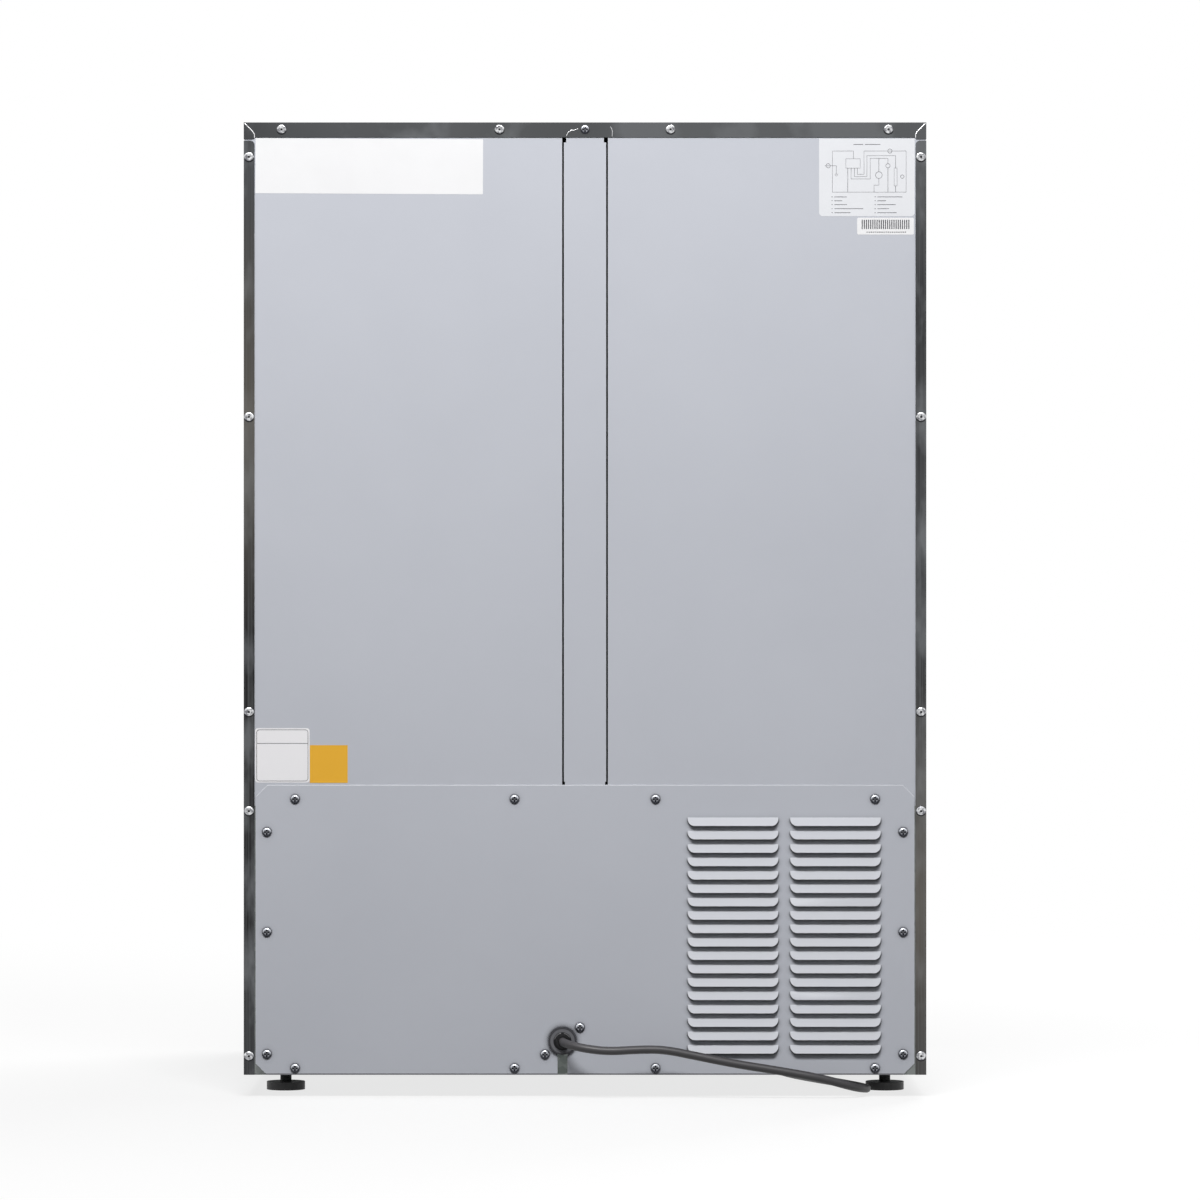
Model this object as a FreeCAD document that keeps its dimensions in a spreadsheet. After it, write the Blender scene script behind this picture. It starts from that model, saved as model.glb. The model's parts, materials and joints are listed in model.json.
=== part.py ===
import FreeCAD, Part
import math
import os
import Sketcher
from FreeCAD import Placement, Rotation, Vector

# Outdoor refrigerator for the space under a counter, in millimetres.
# +Z is up, the door faces -Y, and the origin is the middle of the ground under it.

# Driving dimensions
SIZES = {
    # Cabinet
    "cabinet_width": 597.0,
    "cabinet_height": 833.0,
    "cabinet_depth": 546.0,
    "skin": 0.8,
    "side_flange": 9.4,
    "front_flange": 12.0,
    "flange_corner": 4.0,
    "lid_skirt": 14.6,
    "lid_rear_flange": 13.1,
    "lid_gap": 1.3,
    "mitre_slit": 0.5,
    "fit": 0.2,
    "hole_clearance": 0.1,
    # Rear panels and the strip between them
    "strip_width": 36.9,
    "strip_gap": 1.6,
    "fold_depth": 6.0,
    "notch_width": 2.0,
    "notch_height": 4.4,
    "foot_notch_width": 0.9,
    "foot_notch_height": 3.0,
    "channel_depth": 16.0,
    "channel_margin": 1.0,
    # Lower rear cover
    "cover_height": 253.4,
    "cover_gap": 1.0,
    "cover_chamfer": 10.0,
    "cover_lap": 18.0,
    "louvre_count": 18,
    "louvre_columns": 2,
    "louvre_pitch": 11.7,
    "louvre_width": 79.2,
    "louvre_face": 7.2,
    "louvre_reach": 5.0,
    "louvre_corner": 6.0,
    "louvre_top": 217.9,
    "louvre_from_side": 69.1,
    "louvre_column_pitch": 89.6,
    # Screws and rivets
    "screw_radius": 1.9,
    "screw_length": 7.0,
    "screw_head_radius": 3.9,
    "screw_head_height": 2.2,
    "screw_head_round": 1.5,
    "recess_length": 4.8,
    "recess_width": 1.5,
    "recess_depth": 1.1,
    "rivet_radius": 2.4,
    "rivet_head_radius": 4.5,
    "rivet_head_height": 1.5,
    "rivet_head_round": 1.3,
    "rivet_hole_radius": 1.0,
    "rivet_hole_depth": 1.1,
    "cover_screw_top": 12.2,
    "cover_screw_bottom": 5.9,
    "cover_screw_side": 9.9,
    "cover_screw_from_side": 34.5,
    "cover_screw_inner_share": 0.214,
    "side_screw_low": 18.2,
    "side_screw_middle": 124.9,
    "side_screw_high": 212.4,
    "rivet_from_top": 6.2,
    "rivet_from_corner": 33.1,
    "rivet_inner_share": 0.2506,
    "rivet_from_side": 4.6,
    "side_rivet_foot": 16.4,
    "side_rivet_below_cover_top": 22.7,
    "side_rivet_lower_share": 0.381,
    "side_rivet_upper_share": 0.6907,
    "side_rivet_head": 30.3,
    # Base pan and levelling feet
    "base_sheet": 1.2,
    "base_rear_flange": 17.0,
    "base_front_flange": 26.0,
    "boss_radius": 11.0,
    "boss_height": 9.0,
    "foot_height": 20.0,
    "foot_radius": 17.0,
    "foot_disc": 7.0,
    "foot_stud_radius": 5.0,
    "foot_stud_spare": 3.0,
    "foot_clearance": 0.3,
    "foot_from_side": 32.0,
    "foot_from_rear": 90.0,
    "foot_from_front": 60.0,
    # Compressor compartment and kick grille
    "deck_sheet": 0.8,
    "deck_lip": 30.0,
    "kick_height": 90.0,
    "hump_height": 246.0,
    "hump_depth": 230.0,
    "grille_sheet": 1.2,
    "grille_foot": 3.0,
    "grille_rows": 6,
    "grille_columns": 3,
    "grille_margin": 39.3,
    "grille_slot_gap": 22.0,
    "grille_slot_height": 5.0,
    "grille_row_pitch": 10.0,
    "grille_first_slot": 29.0,
    "grille_screw_from_side": 16.3,
    "grille_screw_height": 15.0,
    # Insulation, liner and front frame
    "insulation": 42.0,
    "liner_wall": 1.5,
    "frame_depth": 8.0,
    "rail_reach": 10.0,
    "rail_height": 8.0,
    "rail_setback": 30.0,
    # Door
    "door_gap": 10.0,
    "door_thickness": 42.0,
    "door_side_gap": 1.5,
    "door_above_kick": 10.0,
    "door_below_top": 12.0,
    "door_liner_sheet": 2.0,
    "door_field_rise": 4.0,
    "door_field_margin": 6.0,
    "gasket_clearance": 0.3,
    "gasket_width": 12.0,
    "gasket_base": 4.0,
    "gasket_step": 1.5,
    "gasket_from_side": 14.0,
    "gasket_from_end": 20.0,
    "handle_reach": 46.0,
    "handle_radius": 9.5,
    "handle_length": 520.0,
    "handle_round": 2.5,
    "handle_from_side": 46.0,
    "handle_post_radius": 7.0,
    "handle_post_inset": 60.0,
    "handle_seat": 0.05,
    # Hinges
    "hinge_from_side": 12.0,
    "hinge_gap": 3.0,
    "hinge_plate": 3.0,
    "hinge_arm_margin": 11.0,
    "hinge_leg_height": 22.0,
    "hinge_leg_inner": 22.0,
    "hinge_leg_outer": 9.0,
    "hinge_screw_drop": 14.0,
    "hinge_screw_near": 4.0,
    "hinge_screw_far": 15.0,
    "hinge_pin_radius": 4.0,
    "hinge_pin_length": 14.0,
    "hinge_collar_radius": 6.5,
    "hinge_collar": 1.5,
    "hinge_clearance": 0.05,
    "bush_radius": 7.0,
    "bush_depth": 17.0,
    "bush_flange_radius": 9.5,
    "bush_flange": 1.2,
    # Grommet, clamp and power cord
    "gland_offset": 19.7,
    "gland_height": 29.6,
    "gland_slot": 8.6,
    "gland_neck_radius": 8.0,
    "gland_neck_clearance": 0.3,
    "gland_flange_radius": 11.8,
    "gland_flange": 3.0,
    "gland_tip_radius": 5.4,
    "gland_boss": 4.5,
    "gland_lip_radius": 10.2,
    "gland_lip": 2.0,
    "gland_seat": 1.0,
    "gland_fit": 0.1,
    "clamp_sheet": 2.0,
    "clamp_width": 54.0,
    "clamp_height": 52.0,
    "clamp_screw_across": 15.3,
    "clamp_screw_up": 11.8,
    "clamp_notch_margin": 2.0,
    "cord_diameter": 7.3,
    "coil_middle_radius": 38.2,
    "coil_turns_each_layer": 2.5,
    "coil_pitch": 8.0,
    "coil_layer_pitch": 8.0,
    "coil_centre_x": -96.0,
    "coil_centre_y": -40.0,
    "coil_start_angle": -150.0,
    "coil_lead": 7.3,
    "coil_approach": 32.0,
    "tail_length": 46.0,
    "tail_turn": 24.0,
    "tie_angle": -60.0,
    "tie_width": 12.0,
    "tie_sheet": 0.8,
    "tie_clearance": 0.3,
    "plug_length": 36.0,
    "plug_width": 26.0,
    "plug_thickness": 16.0,
    "plug_round": 4.0,
    "plug_relief_length": 25.0,
    "plug_relief_radius": 6.0,
    "plug_relief_tip": 4.6,
    "plug_ground": 0.1,
    "blade_length": 16.0,
    "blade_width": 6.3,
    "blade_sheet": 1.5,
    "blade_spacing": 12.7,
    "ground_pin_radius": 2.4,
    "ground_pin_length": 19.0,
    # Compressor and what stands by it
    "compressor_from_side": 147.7,
    "compressor_from_rear": 120.0,
    "compressor_radius": 72.0,
    "compressor_height": 150.0,
    "compressor_flat": 22.0,
    "compressor_plate_width": 196.0,
    "compressor_plate_depth": 124.0,
    "compressor_plate": 3.0,
    "compressor_seam": 3.0,
    "compressor_sink": 6.0,
    "mount_spacing_x": 168.0,
    "mount_spacing_y": 100.0,
    "mount_radius": 9.0,
    "mount_height": 14.0,
    "mount_stud_radius": 3.0,
    "mount_stud_spare": 6.0,
    "mount_clearance": 0.3,
    "stub_length": 12.0,
    "starter_width": 44.0,
    "starter_depth": 60.0,
    "starter_height": 72.0,
    "starter_floor": 60.0,
    "starter_gap": 0.2,
    "tray_width": 150.0,
    "tray_depth": 120.0,
    "tray_height": 26.0,
    "tray_wall": 1.5,
    "drain_radius": 8.0,
    "drain_wall": 1.5,
    "drain_from_compressor": 35.0,
    "drain_from_rear": 84.0,
    "drain_dip": 10.0,
    "driver_width": 90.0,
    "driver_depth": 32.0,
    "driver_height": 50.0,
    "driver_floor": 120.0,
    # Condenser and its fan
    "condenser_from_side": 49.7,
    "condenser_width": 156.0,
    "condenser_depth": 44.0,
    "condenser_height": 204.0,
    "condenser_from_cover": 14.0,
    "condenser_legs": 20.0,
    "coil_plate": 1.5,
    "fin_sheet": 0.6,
    "condenser_fins": 16,
    "coil_tube_radius": 4.0,
    "coil_tube_levels": 4,
    "coil_tube_first": 0.28,
    "coil_tube_second": 0.72,
    "shroud_sheet": 1.2,
    "shroud_depth": 18.0,
    "shroud_opening": 66.0,
    "condenser_fan_radius": 62.0,
    "condenser_hub_radius": 18.0,
    "condenser_hub_length": 22.0,
    "condenser_motor_radius": 30.0,
    "condenser_motor_length": 44.0,
    "condenser_motor_gap": 4.0,
    "condenser_shaft_radius": 3.0,
    "pedestal_width": 32.0,
    "pedestal_sink": 6.0,
    "shaft_clearance": 0.05,
    "shaft_depth": 20.0,
    "fan_blades": 5,
    "fan_blade_sheet": 1.6,
    "fan_root_share": 0.9,
    "fan_tip_share": 0.55,
    "fan_root_pitch": 42.0,
    "fan_tip_pitch": 24.0,
    # Refrigerant tubes
    "suction_radius": 4.0,
    "suction_height": 112.0,
    "suction_offset": 8.0,
    "suction_from_rear": 9.0,
    "discharge_radius": 3.0,
    "discharge_height": 74.0,
    "discharge_offset": 30.0,
    "discharge_setback": 30.0,
    "tube_bend": 16.0,
    "tube_clearance": 0.5,
    "header_length": 10.0,
    "condenser_inlet": 182.0,
    "condenser_outlet": 46.0,
    "drier_radius": 9.0,
    "drier_length": 46.0,
    "drier_tip_radius": 3.5,
    "drier_taper": 10.0,
    "capillary_radius": 1.2,
    "capillary_gap": 0.2,
    # Evaporator, its fan and cover
    "evaporator_width": 300.0,
    "evaporator_depth": 42.0,
    "evaporator_height": 160.0,
    "evaporator_floor": 30.0,
    "evaporator_fins": 16,
    "evaporator_cover_width": 380.0,
    "evaporator_cover_depth": 62.0,
    "evaporator_cover_height": 340.0,
    "evaporator_cover_drop": 36.0,
    "evaporator_cover_wall": 2.0,
    "evaporator_fan_drop": 72.0,
    "evaporator_fan_opening": 52.0,
    "evaporator_fan_radius": 46.0,
    "evaporator_hub_radius": 14.0,
    "evaporator_hub_length": 15.0,
    "evaporator_motor_radius": 24.0,
    "evaporator_motor_length": 26.0,
    "evaporator_motor_gap": 1.0,
    "evaporator_motor_plate": 70.0,
    "evaporator_plate_sheet": 3.0,
    "evaporator_shaft_radius": 2.0,
    "fan_slot_height": 7.0,
    "fan_slot_pitch": 12.0,
    "fan_slots": 9,
    "intake_slots": 12,
    "intake_slot_width": 8.0,
    "intake_slot_height": 46.0,
    "intake_slot_pitch": 24.0,
    "intake_floor": 16.0,
    "sensor_clip": 12.0,
    "sensor_clip_depth": 5.0,
    "sensor_radius": 3.0,
    "sensor_length": 34.0,
    "sensor_height": 420.0,
    "sensor_setback": 380.0,
    # Control and light
    "control_width": 170.0,
    "control_depth": 55.0,
    "control_height": 26.0,
    "control_setback": 26.0,
    "display_width": 46.0,
    "display_height": 15.0,
    "display_sheet": 1.0,
    "display_fit": 0.1,
    "button_radius": 6.0,
    "button_clearance": 0.3,
    "button_length": 6.0,
    "button_proud": 2.0,
    "button_travel": 1.2,
    "button_round": 0.8,
    "button_power_offset": 62.0,
    "button_warmer_offset": 42.0,
    "button_cooler_offset": 62.0,
    "light_width": 220.0,
    "light_depth": 24.0,
    "light_height": 10.0,
    "light_bevel": 4.0,
    "light_gap": 18.0,
    # Shelves
    "shelf_lower_height": 318.0,
    "shelf_upper_height": 556.0,
    "shelf_side_gap": 3.0,
    "shelf_rear_gap": 6.0,
    "shelf_rod_radius": 3.0,
    "shelf_side_rod_radius": 2.8,
    "shelf_wire_radius": 1.6,
    "shelf_wire_sink": 0.4,
    "shelf_wires": 23,
    "shelf_rest": 0.1,
}

doc = FreeCAD.newDocument("outdoor_refrigerator")
sheet = doc.addObject("Spreadsheet::Sheet", "sizes")
for row, (name, value) in enumerate(SIZES.items(), start=1):
    sheet.set("A%d" % row, name)
    sheet.set("B%d" % row, str(value))
    sheet.setAlias("B%d" % row, name)
doc.recompute()


class Size:
    """A length as a number and as the expression that ties it to the sheet."""

    def __init__(self, text, number):
        self.text = text
        self.number = number

    def __add__(self, other):
        other = as_size(other)
        return Size("(%s + %s)" % (self.text, other.text), self.number + other.number)

    def __sub__(self, other):
        other = as_size(other)
        return Size("(%s - %s)" % (self.text, other.text), self.number - other.number)

    def __mul__(self, other):
        other = as_size(other)
        return Size("(%s * %s)" % (self.text, other.text), self.number * other.number)

    def __truediv__(self, other):
        other = as_size(other)
        return Size("(%s / %s)" % (self.text, other.text), self.number / other.number)

    def __neg__(self):
        return Size("(-%s)" % self.text, -self.number)

    def root(self):
        return Size("sqrt(%s)" % self.text, math.sqrt(self.number))


def as_size(value):
    if isinstance(value, Size):
        return value
    return Size("(%r)" % float(value), float(value))


def size(name):
    return Size("sizes." + name, float(sheet.get(name)))


def count(name):
    return int(round(float(sheet.get(name))))


def vector(point):
    return Vector(*[as_size(value).number for value in point])


ZERO = as_size(0.0)
# How near an edge's middle lies to the point that picks it
PICK_DISTANCE = 0.02
# Share of the shorter run that an arc of the cord takes up
ARC_SHARE = 0.45
# Points along the coil for its gap to itself: their spacing, and the neighbours passed over
SAMPLE_STEP = 2.0
SAMPLE_NEIGHBOURS = 12
TURNED_TO = {
    "+X": Rotation(Vector(0, 1, 0), 90),
    "-X": Rotation(Vector(0, 1, 0), -90),
    "+Y": Rotation(Vector(1, 0, 0), -90),
    "-Y": Rotation(Vector(1, 0, 0), 90),
    "+Z": Rotation(),
    "-Z": Rotation(Vector(1, 0, 0), 180),
}
sub_parts = []


def sub_part(thing, label):
    """Names a finished piece, which is then written to a file of that name."""
    thing.Label = label
    sub_parts.append(thing)
    return thing


def place(thing, point, axis="+Z"):
    """Sets a thing down with its own Z turned to an axis and its origin at a point of sizes."""
    thing.Placement = Placement(Vector(), TURNED_TO[axis])
    for letter, value in zip("xyz", point):
        thing.setExpression("Placement.Base." + letter, as_size(value).text)


def mirrored(sign, low, high):
    """A span along X on the right (+1) or, mirrored, on the left (-1)."""
    return (low, high) if sign > 0 else (-as_size(high), -as_size(low))


def box(x, y, z):
    """A block between two planes along each axis."""
    block = doc.addObject("Part::Box", "block")
    for side, letter, (low, high) in (("Length", "x", x), ("Width", "y", y), ("Height", "z", z)):
        low = as_size(low)
        block.setExpression(side, (as_size(high) - low).text)
        block.setExpression("Placement.Base." + letter, low.text)
    return block


def cylinder(start, axis, radius, length):
    """A round bar from a point along an axis."""
    bar = doc.addObject("Part::Cylinder", "bar")
    bar.setExpression("Radius", as_size(radius).text)
    bar.setExpression("Height", as_size(length).text)
    place(bar, start, axis)
    return bar


def fuse(things):
    joined = doc.addObject("Part::MultiFuse", "joined")
    joined.Shapes = things
    joined.Refine = True
    return joined


def together(things):
    """Separate solids kept as one thing."""
    kept = doc.addObject("Part::Compound", "kept")
    kept.Links = things
    return kept


def cut(base, tools):
    rest = doc.addObject("Part::Cut", "rest")
    rest.Base = base
    rest.Tool = tools[0] if len(tools) == 1 else together(tools)
    rest.Refine = True
    return rest


def new_body(name):
    return doc.addObject("PartDesign::Body", name)


def origin_feature(body, role):
    return [feature for feature in body.Origin.OriginFeatures if feature.Role == role][0]


def sketch(body, plane, at, outlines=(), rounds=()):
    """Polygons and circles on a plane of the body, which lies at a distance along that plane's axis."""
    drawing = body.newObject("Sketcher::SketchObject", "drawing")
    drawing.AttachmentSupport = [(origin_feature(body, plane + "_Plane"), "")]
    drawing.MapMode = "FlatFace"
    # The XZ plane faces -Y, so a place along +Y is a negative offset.
    offset = -as_size(at) if plane == "XZ" else as_size(at)
    drawing.setExpression("AttachmentOffset.Base.z", offset.text)

    def pin(kind, geometry, point, value):
        value = as_size(value)
        index = drawing.addConstraint(Sketcher.Constraint(kind, -1, 1, geometry, point, value.number))
        drawing.setExpression("Constraints[%d]" % index, value.text)

    for outline in outlines:
        corners = [Vector(as_size(u).number, as_size(v).number, 0) for u, v in outline]
        lines = []
        for start, end in zip(corners, corners[1:] + corners[:1]):
            lines.append(drawing.addGeometry(Part.LineSegment(start, end), False))
        for line, following in zip(lines, lines[1:] + lines[:1]):
            drawing.addConstraint(Sketcher.Constraint("Coincident", line, 2, following, 1))
        for line, (u, v) in zip(lines, outline):
            pin("DistanceX", line, 1, u)
            pin("DistanceY", line, 1, v)
    for u, v, radius in rounds:
        u, v, radius = as_size(u), as_size(v), as_size(radius)
        ring = Part.Circle(Vector(u.number, v.number, 0), Vector(0, 0, 1), radius.number)
        circle = drawing.addGeometry(ring, False)
        index = drawing.addConstraint(Sketcher.Constraint("Radius", circle, radius.number))
        drawing.setExpression("Constraints[%d]" % index, radius.text)
        pin("DistanceX", circle, 3, u)
        pin("DistanceY", circle, 3, v)
    return drawing


def pad(body, drawing, length, symmetric=False):
    feature = body.newObject("PartDesign::Pad", "pad")
    feature.Profile = drawing
    feature.setExpression("Length", as_size(length).text)
    if symmetric:
        feature.SideType = "Symmetric"
    return feature


def pocket(body, drawing, length):
    """Cuts a drawing's shape through half the length on each side of its plane."""
    feature = body.newObject("PartDesign::Pocket", "pocket")
    feature.Profile = drawing
    feature.SideType = "Symmetric"
    feature.setExpression("Length", as_size(length).text)
    return feature


def fillet(body, radius, middles):
    """Rounds the edges of the body whose middles lie at the given points."""
    doc.recompute()
    base = body.Tip
    points = [vector(middle) for middle in middles]
    names = []
    for index, edge in enumerate(base.Shape.Edges, start=1):
        if any(edge.CenterOfMass.distanceToPoint(point) < PICK_DISTANCE for point in points):
            names.append("Edge%d" % index)
    feature = body.newObject("PartDesign::Fillet", "rounding")
    feature.Base = (base, names)
    feature.setExpression("Radius", as_size(radius).text)
    return feature


def turned(name, profile):
    """A body turned about its own Z axis from corners of radius and height."""
    body = new_body(name)
    drawing = sketch(body, "XZ", ZERO, [profile])
    feature = body.newObject("PartDesign::Revolution", "turning")
    feature.Profile = drawing
    feature.ReferenceAxis = (drawing, ["V_Axis"])
    feature.Angle = 360
    return body


def rectangle(u, v):
    return [(u[0], v[0]), (u[1], v[0]), (u[1], v[1]), (u[0], v[1])]


def shape_part(name, shape):
    """A piece whose shape is worked out from the sheet's numbers."""
    feature = doc.addObject("Part::Feature", name)
    feature.Shape = shape
    return feature


def repeated(name, master, points, axis="+Z"):
    """The same solid set down at each point, with its own Z turned to an axis."""
    doc.recompute()
    copies = []
    for point in points:
        copy = master.Shape.copy()
        copy.Placement = Placement(vector(point), TURNED_TO[axis]).multiply(copy.Placement)
        copies.append(copy)
    return shape_part(name, Part.makeCompound(copies))


# Main planes of the cabinet
skin = size("skin")
fit = size("fit")
half = size("cabinet_width") / 2
inner = half - skin
total_depth = (size("handle_reach") + size("door_thickness") + size("door_gap")
               + size("cabinet_depth") + size("louvre_reach"))
rear = total_depth / 2 - size("louvre_reach")
front = rear - size("cabinet_depth")
bottom = size("foot_height")
top = bottom + size("cabinet_height")
panel_face = rear - skin
panel_back = panel_face - skin
frame_back = front + size("frame_depth")
base_top = bottom + size("base_sheet")
side_top = top - size("lid_skirt") - size("lid_gap")
cover_top = bottom + size("cover_height")
panel_foot = cover_top - size("cover_lap")
cover_half = half - size("side_flange") - size("cover_gap")
rivet_z = top - size("rivet_from_top")
rivet_hole = size("rivet_radius") + size("hole_clearance")
screw_hole = size("screw_radius") + size("hole_clearance")
sheet_cut = skin * 4

# Planes of the deck, the insulation and the liner
deck = size("deck_sheet")
tunnel_roof = bottom + size("kick_height")
hump_roof = bottom + size("hump_height")
hump_wall = panel_face - size("hump_depth")
insulation = size("insulation")
wall = size("liner_wall")
liner_half = inner - insulation
liner_foot = tunnel_roof + deck + insulation
step_wall = hump_wall - deck - insulation
step_top = hump_roof + deck + insulation
liner_back = panel_back - insulation
liner_top = top - skin - insulation
room_half = liner_half - wall
room_foot = liner_foot + wall
room_back = liner_back - wall
room_top = liner_top - wall

# Places of the fasteners, as X and Z
cover_screws = []
for sign in (1, -1):
    for across in (cover_half - size("cover_screw_from_side"), cover_half * size("cover_screw_inner_share")):
        cover_screws.append((across * sign, cover_top - size("cover_screw_top")))
        cover_screws.append((across * sign, bottom + size("cover_screw_bottom")))
side_screws = []
for sign in (1, -1):
    for level in ("side_screw_low", "side_screw_middle", "side_screw_high"):
        side_screws.append(((cover_half - size("cover_screw_side")) * sign, bottom + size(level)))
gland_x = size("gland_offset")
gland_z = bottom + size("gland_height")
clamp_screws = [
    (gland_x + size("clamp_screw_across"), gland_z - size("clamp_screw_up")),
    (gland_x - size("clamp_screw_across"), gland_z + size("clamp_screw_up")),
]
top_rivets = []
for sign in (1, -1):
    for across in (half - size("rivet_from_corner"), half * size("rivet_inner_share")):
        top_rivets.append((across * sign, rivet_z))
side_rivet_x = half - size("rivet_from_side")
side_rivet_levels = [
    bottom + size("side_rivet_foot"),
    cover_top - size("side_rivet_below_cover_top"),
    bottom + size("cabinet_height") * size("side_rivet_lower_share"),
    bottom + size("cabinet_height") * size("side_rivet_upper_share"),
    top - size("side_rivet_head"),
]
front_half = half - size("front_flange") - fit
grille_screw_x = front_half - size("grille_screw_from_side")
grille_screws = [(grille_screw_x * sign, bottom + size("grille_screw_height")) for sign in (1, -1)]


def holes(places, radius):
    return [(across, level, radius) for across, level in places]


# Top panel: a pan with skirts, whose rear corners are mitred tabs
lid = new_body("top_panel")
lid_outline = rectangle((-half, half), (front, rear))
pad(lid, sketch(lid, "XY", top - size("lid_skirt"), [lid_outline]), size("lid_skirt"))
hollow_height = size("lid_skirt") - skin
hollow_outline = rectangle((-inner, inner), (front + skin, panel_face))
hollow = sketch(lid, "XY", top - skin - hollow_height, [hollow_outline])
pocket(lid, hollow, hollow_height * 2)
tab = half - size("side_flange")
opening = rectangle((-tab, tab), (top - size("lid_skirt") * 2, top - size("lid_rear_flange")))
pocket(lid, sketch(lid, "XZ", rear, [opening]), sheet_cut)
slit = size("mitre_slit")
slit_drop = slit * math.sqrt(2.0)
slits = []
for sign in (1, -1):
    corners = [
        (half - skin, top - skin),
        (tab, top - size("side_flange")),
        (tab, top - size("lid_skirt")),
        (tab + slit, top - size("lid_skirt")),
        (tab + slit, top - size("side_flange") + slit - slit_drop),
        (half - skin, top - skin - slit_drop),
    ]
    slits.append([(across * sign, level) for across, level in corners])
lid_holes = holes(top_rivets, rivet_hole) + [(ZERO, rivet_z, screw_hole)]
pocket(lid, sketch(lid, "XZ", rear, slits, lid_holes), sheet_cut)
sub_part(lid, "top_panel")

# Side panels, folded in at the front and at the rear
for side, sign in (("right", 1), ("left", -1)):
    panel = new_body("side_panel")
    section = [
        (half, front),
        (half, rear),
        (half - size("side_flange"), rear),
        (half - size("side_flange"), panel_face),
        (inner, panel_face),
        (inner, front + skin),
        (half - size("front_flange"), front + skin),
        (half - size("front_flange"), front),
    ]
    pad(panel, sketch(panel, "XY", bottom, [[(x * sign, y) for x, y in section]]), side_top - bottom)
    fillet(panel, size("flange_corner"), [((half - size("side_flange")) * sign, rear - skin / 2, side_top)])
    side_places = [(side_rivet_x * sign, level) for level in side_rivet_levels]
    pocket(panel, sketch(panel, "XZ", rear, (), holes(side_places, rivet_hole)), sheet_cut)
    sub_part(panel, "side_panel_" + side)

# Rear panels, folded in beside the strip
strip_half = size("strip_width") / 2
seam = strip_half + size("strip_gap")
panel_head = top - skin - fit
for side, sign in (("right", 1), ("left", -1)):
    panel = new_body("rear_panel")
    section = [
        (seam, panel_face),
        (inner - fit, panel_face),
        (inner - fit, panel_back),
        (seam + skin, panel_back),
        (seam + skin, panel_face - size("fold_depth")),
        (seam, panel_face - size("fold_depth")),
    ]
    pad(panel, sketch(panel, "XY", panel_foot, [[(x * sign, y) for x, y in section]]), panel_head - panel_foot)
    riveted = [spot for spot in top_rivets if spot[0].number * sign > 0]
    riveted += [(side_rivet_x * sign, level) for level in side_rivet_levels if level.number > cover_top.number]
    screwed = [(x, z) for x, z in cover_screws if x.number * sign > 0 and z.number > panel_foot.number]
    drilled = holes(riveted, rivet_hole) + holes(screwed, screw_hole)
    pocket(panel, sketch(panel, "XZ", panel_face, (), drilled), sheet_cut)
    sub_part(panel, "rear_panel_" + side)

# Centre strip, a shallow channel with relief notches at its corners
strip = new_body("rear_centre_strip")
section = [
    (-strip_half, panel_face),
    (strip_half, panel_face),
    (strip_half, panel_face - size("fold_depth")),
    (strip_half - skin, panel_face - size("fold_depth")),
    (strip_half - skin, panel_back),
    (skin - strip_half, panel_back),
    (skin - strip_half, panel_face - size("fold_depth")),
    (-strip_half, panel_face - size("fold_depth")),
]
pad(strip, sketch(strip, "XY", panel_foot, [section]), panel_head - panel_foot)
notches = []
for sign in (1, -1):
    head = mirrored(sign, strip_half - size("notch_width"), strip_half + fit)
    notch_foot = top - size("lid_rear_flange") - size("notch_height")
    notches.append(rectangle(head, (notch_foot, panel_head + fit)))
    foot = mirrored(sign, strip_half - size("foot_notch_width"), strip_half + fit)
    notches.append(rectangle(foot, (panel_foot - fit, cover_top + size("foot_notch_height"))))
pocket(strip, sketch(strip, "XZ", panel_face, notches, [(ZERO, rivet_z, screw_hole)]), size("fold_depth") * 4)
sub_part(strip, "rear_centre_strip")

# Lower rear cover with louvres pushed out of the sheet, each open downwards
blank = new_body("cover_blank")
chamfer = size("cover_chamfer")
outline = [
    (chamfer - cover_half, bottom),
    (cover_half - chamfer, bottom),
    (cover_half, bottom + chamfer),
    (cover_half, cover_top - chamfer),
    (cover_half - chamfer, cover_top),
    (chamfer - cover_half, cover_top),
    (-cover_half, cover_top - chamfer),
    (-cover_half, bottom + chamfer),
]
pad(blank, sketch(blank, "XZ", rear, [outline]), skin)
slot_half = size("gland_slot") / 2
keyhole = rectangle((gland_x - slot_half, gland_x + slot_half), (bottom - fit, gland_z))
pocket(blank, sketch(blank, "XZ", rear, [keyhole]), sheet_cut)
gland_hole = (gland_x, gland_z, size("gland_neck_radius") + size("gland_neck_clearance"))
cover_holes = holes(cover_screws + side_screws + clamp_screws, screw_hole)
pocket(blank, sketch(blank, "XZ", rear, (), cover_holes + [gland_hole]), sheet_cut)

lip_z = bottom + size("louvre_top")
louvre_face = size("louvre_face")
louvre_reach = size("louvre_reach")
louvre_half = size("louvre_width") / 2
louvre = new_body("louvre")
rooted = rear - skin / 2
louvre_head = lip_z + louvre_face
section = [(rooted, lip_z), (rear + louvre_reach, lip_z), (rear, louvre_head), (rooted, louvre_head)]
pad(louvre, sketch(louvre, "YZ", ZERO, [section]), size("louvre_width"), symmetric=True)
lip_middle = (rooted + rear + louvre_reach) / 2
fillet(louvre, size("louvre_corner"), [(louvre_half, lip_middle, lip_z), (-louvre_half, lip_middle, lip_z)])

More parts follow.
